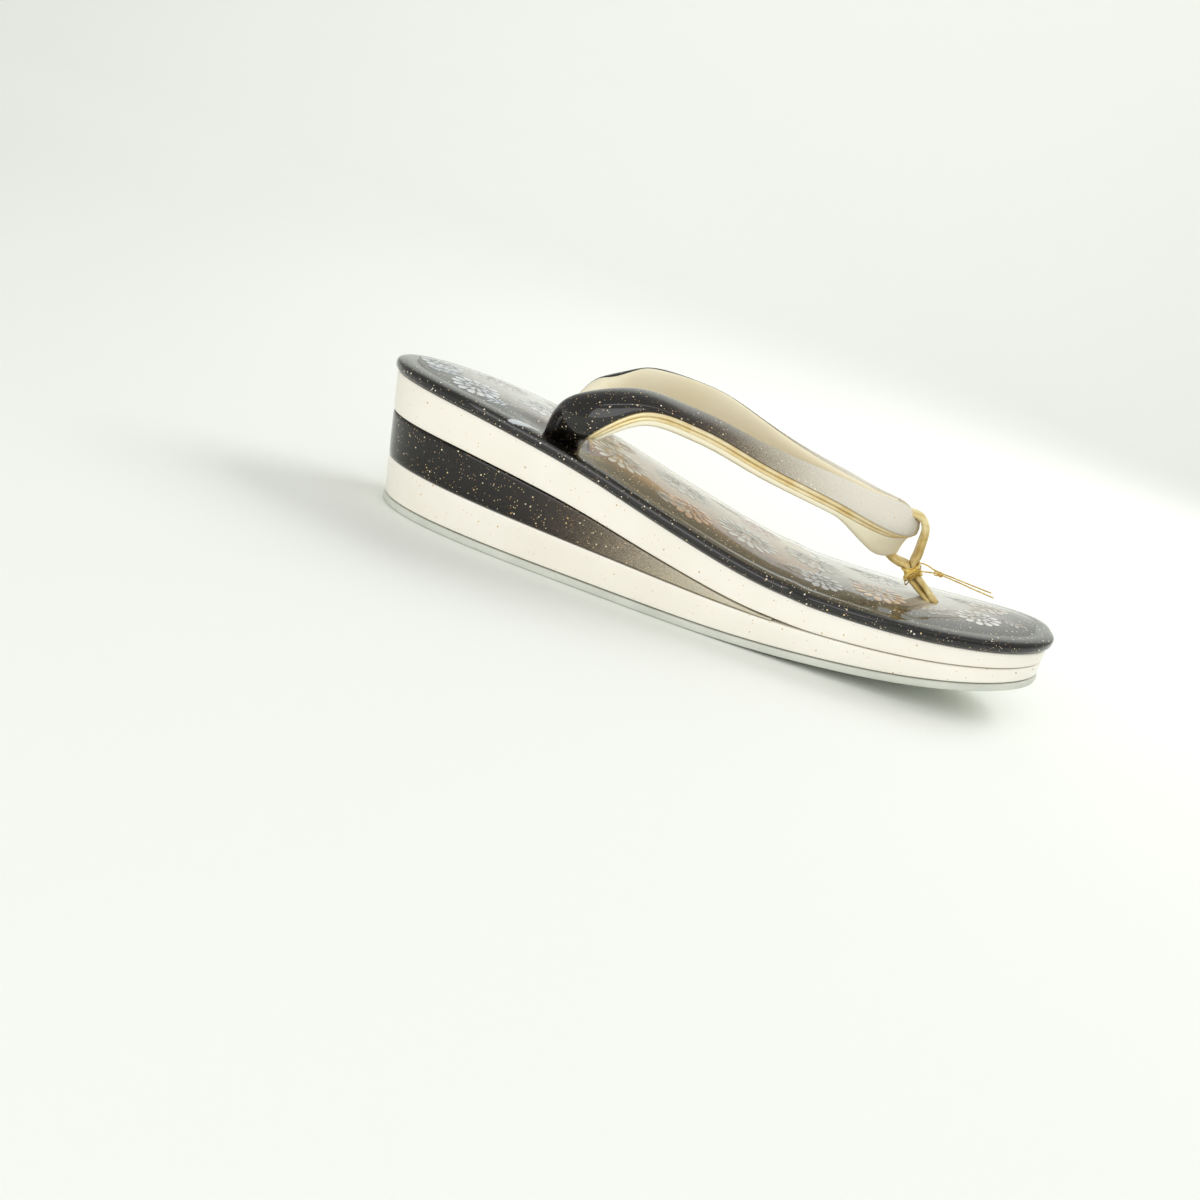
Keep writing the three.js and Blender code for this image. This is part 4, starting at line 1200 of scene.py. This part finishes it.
# Binding thread: gold foil strip spun round a core
thread, tree, surface, place = newMaterial("gold_foil_thread", {"Roughness": 0.32, "Metallic": 0.35})
gold = clouded(tree, place, 500.0, 2.0, (0.3, "#cfa035"), (0.7, "#f6df85"))
twist = addNode(tree, "TexWave", {"Scale": 900.0, "bands_direction": "DIAGONAL"}, {"Vector": place})
finishSurface(surface, gold, twist.outputs[1], 0.05, 0.6)

dressRows = [
    (layers["outsole_sheet"], rubber), (layers["lower_tier"], enamel), (layers["upper_tier"], enamel),
    (layers["wedge_tier"], lacquer), (footbedPad, printedEnamel), (petals, inks), (strapCore, strapEnamel),
    (strapLining, lining), (piping, foil), (toeLoop, satin), (threadBinding, thread), (endPieces[0], thread),
    (endPieces[1], thread),
]
for piece, material in dressRows:
    piece.data.materials.clear()
    piece.data.materials.append(material)
print("materials set")

# Floor, backdrop and light

studio = {
    "floor": "#f4f6f1", "air": "#fafbf7", "world": 0.53,
    "wall": 1600, "bend": 700, "bendSteps": 24, "half": 3000, "front": -2500, "top": 3500,
}
sweep = []
for k in range(studio["bendSteps"] + 1):
    angle = pi / 2 * k / studio["bendSteps"]
    sweep.append((studio["wall"] + studio["bend"] * sin(angle), studio["bend"] * (1 - cos(angle))))
profile = [(studio["front"], 0)] + sweep + [(sweep[-1][0], studio["top"])]
points = [(x, y, z) for y, z in profile for x in (-studio["half"], studio["half"])]
faces = [(2 * k, 2 * k + 1, 2 * k + 3, 2 * k + 2) for k in range(len(profile) - 1)]
backdrop = pieceFrom("backdrop", points, faces)
smoothed(backdrop)
# Backdrop paper: matt white
paper, tree, surface, place = newMaterial("backdrop_paper", {
    "Base Color": hexColour(studio["floor"]), "Roughness": 0.75, "Specular IOR Level": 0.2,
})
backdrop.data.materials.append(paper)

world = bpy.data.worlds.new("studio")
world.use_nodes = True
air = world.node_tree.nodes["Background"]
air.inputs[0].default_value = hexColour(studio["air"])
air.inputs[1].default_value = studio["world"]
bpy.context.scene.world = world

lampRows = [
    # name, place and aim in metres, width, depth, power, seen in the gloss
    ("key_softbox", (0.6, 0.5, 0.65), (-0.1, 0, 0.03), 0.6, 0.5, 5.4, False),
    ("front_softbox", (-0.3, -1.3, 0.55), (0, 0, 0.03), 1.3, 1.0, 8.4, True),
    ("strip_light", (0.05, -0.4, 0.85), (0, 0, 0.04), 1.2, 0.06, 0.9, True),
    ("wall_softbox", (0, 1.1, 1.9), (0, 2.3, 1.2), 3.0, 1.4, 20, False),
]
for name, place, aim, wide, deep, power, glossy in lampRows:
    data = bpy.data.lights.new(name, "AREA")
    data.shape = "RECTANGLE"
    data.size = wide
    data.size_y = deep
    data.energy = power
    light = bpy.data.objects.new(name, data)
    light.location = place
    light.rotation_euler = (Vector(aim) - Vector(place)).to_track_quat("-Z", "Y").to_euler()
    light.visible_glossy = glossy
    bpy.context.scene.collection.objects.link(light)
bpy.context.scene.view_settings.view_transform = "Standard"
print("studio set")

bpy.context.view_layer.update()
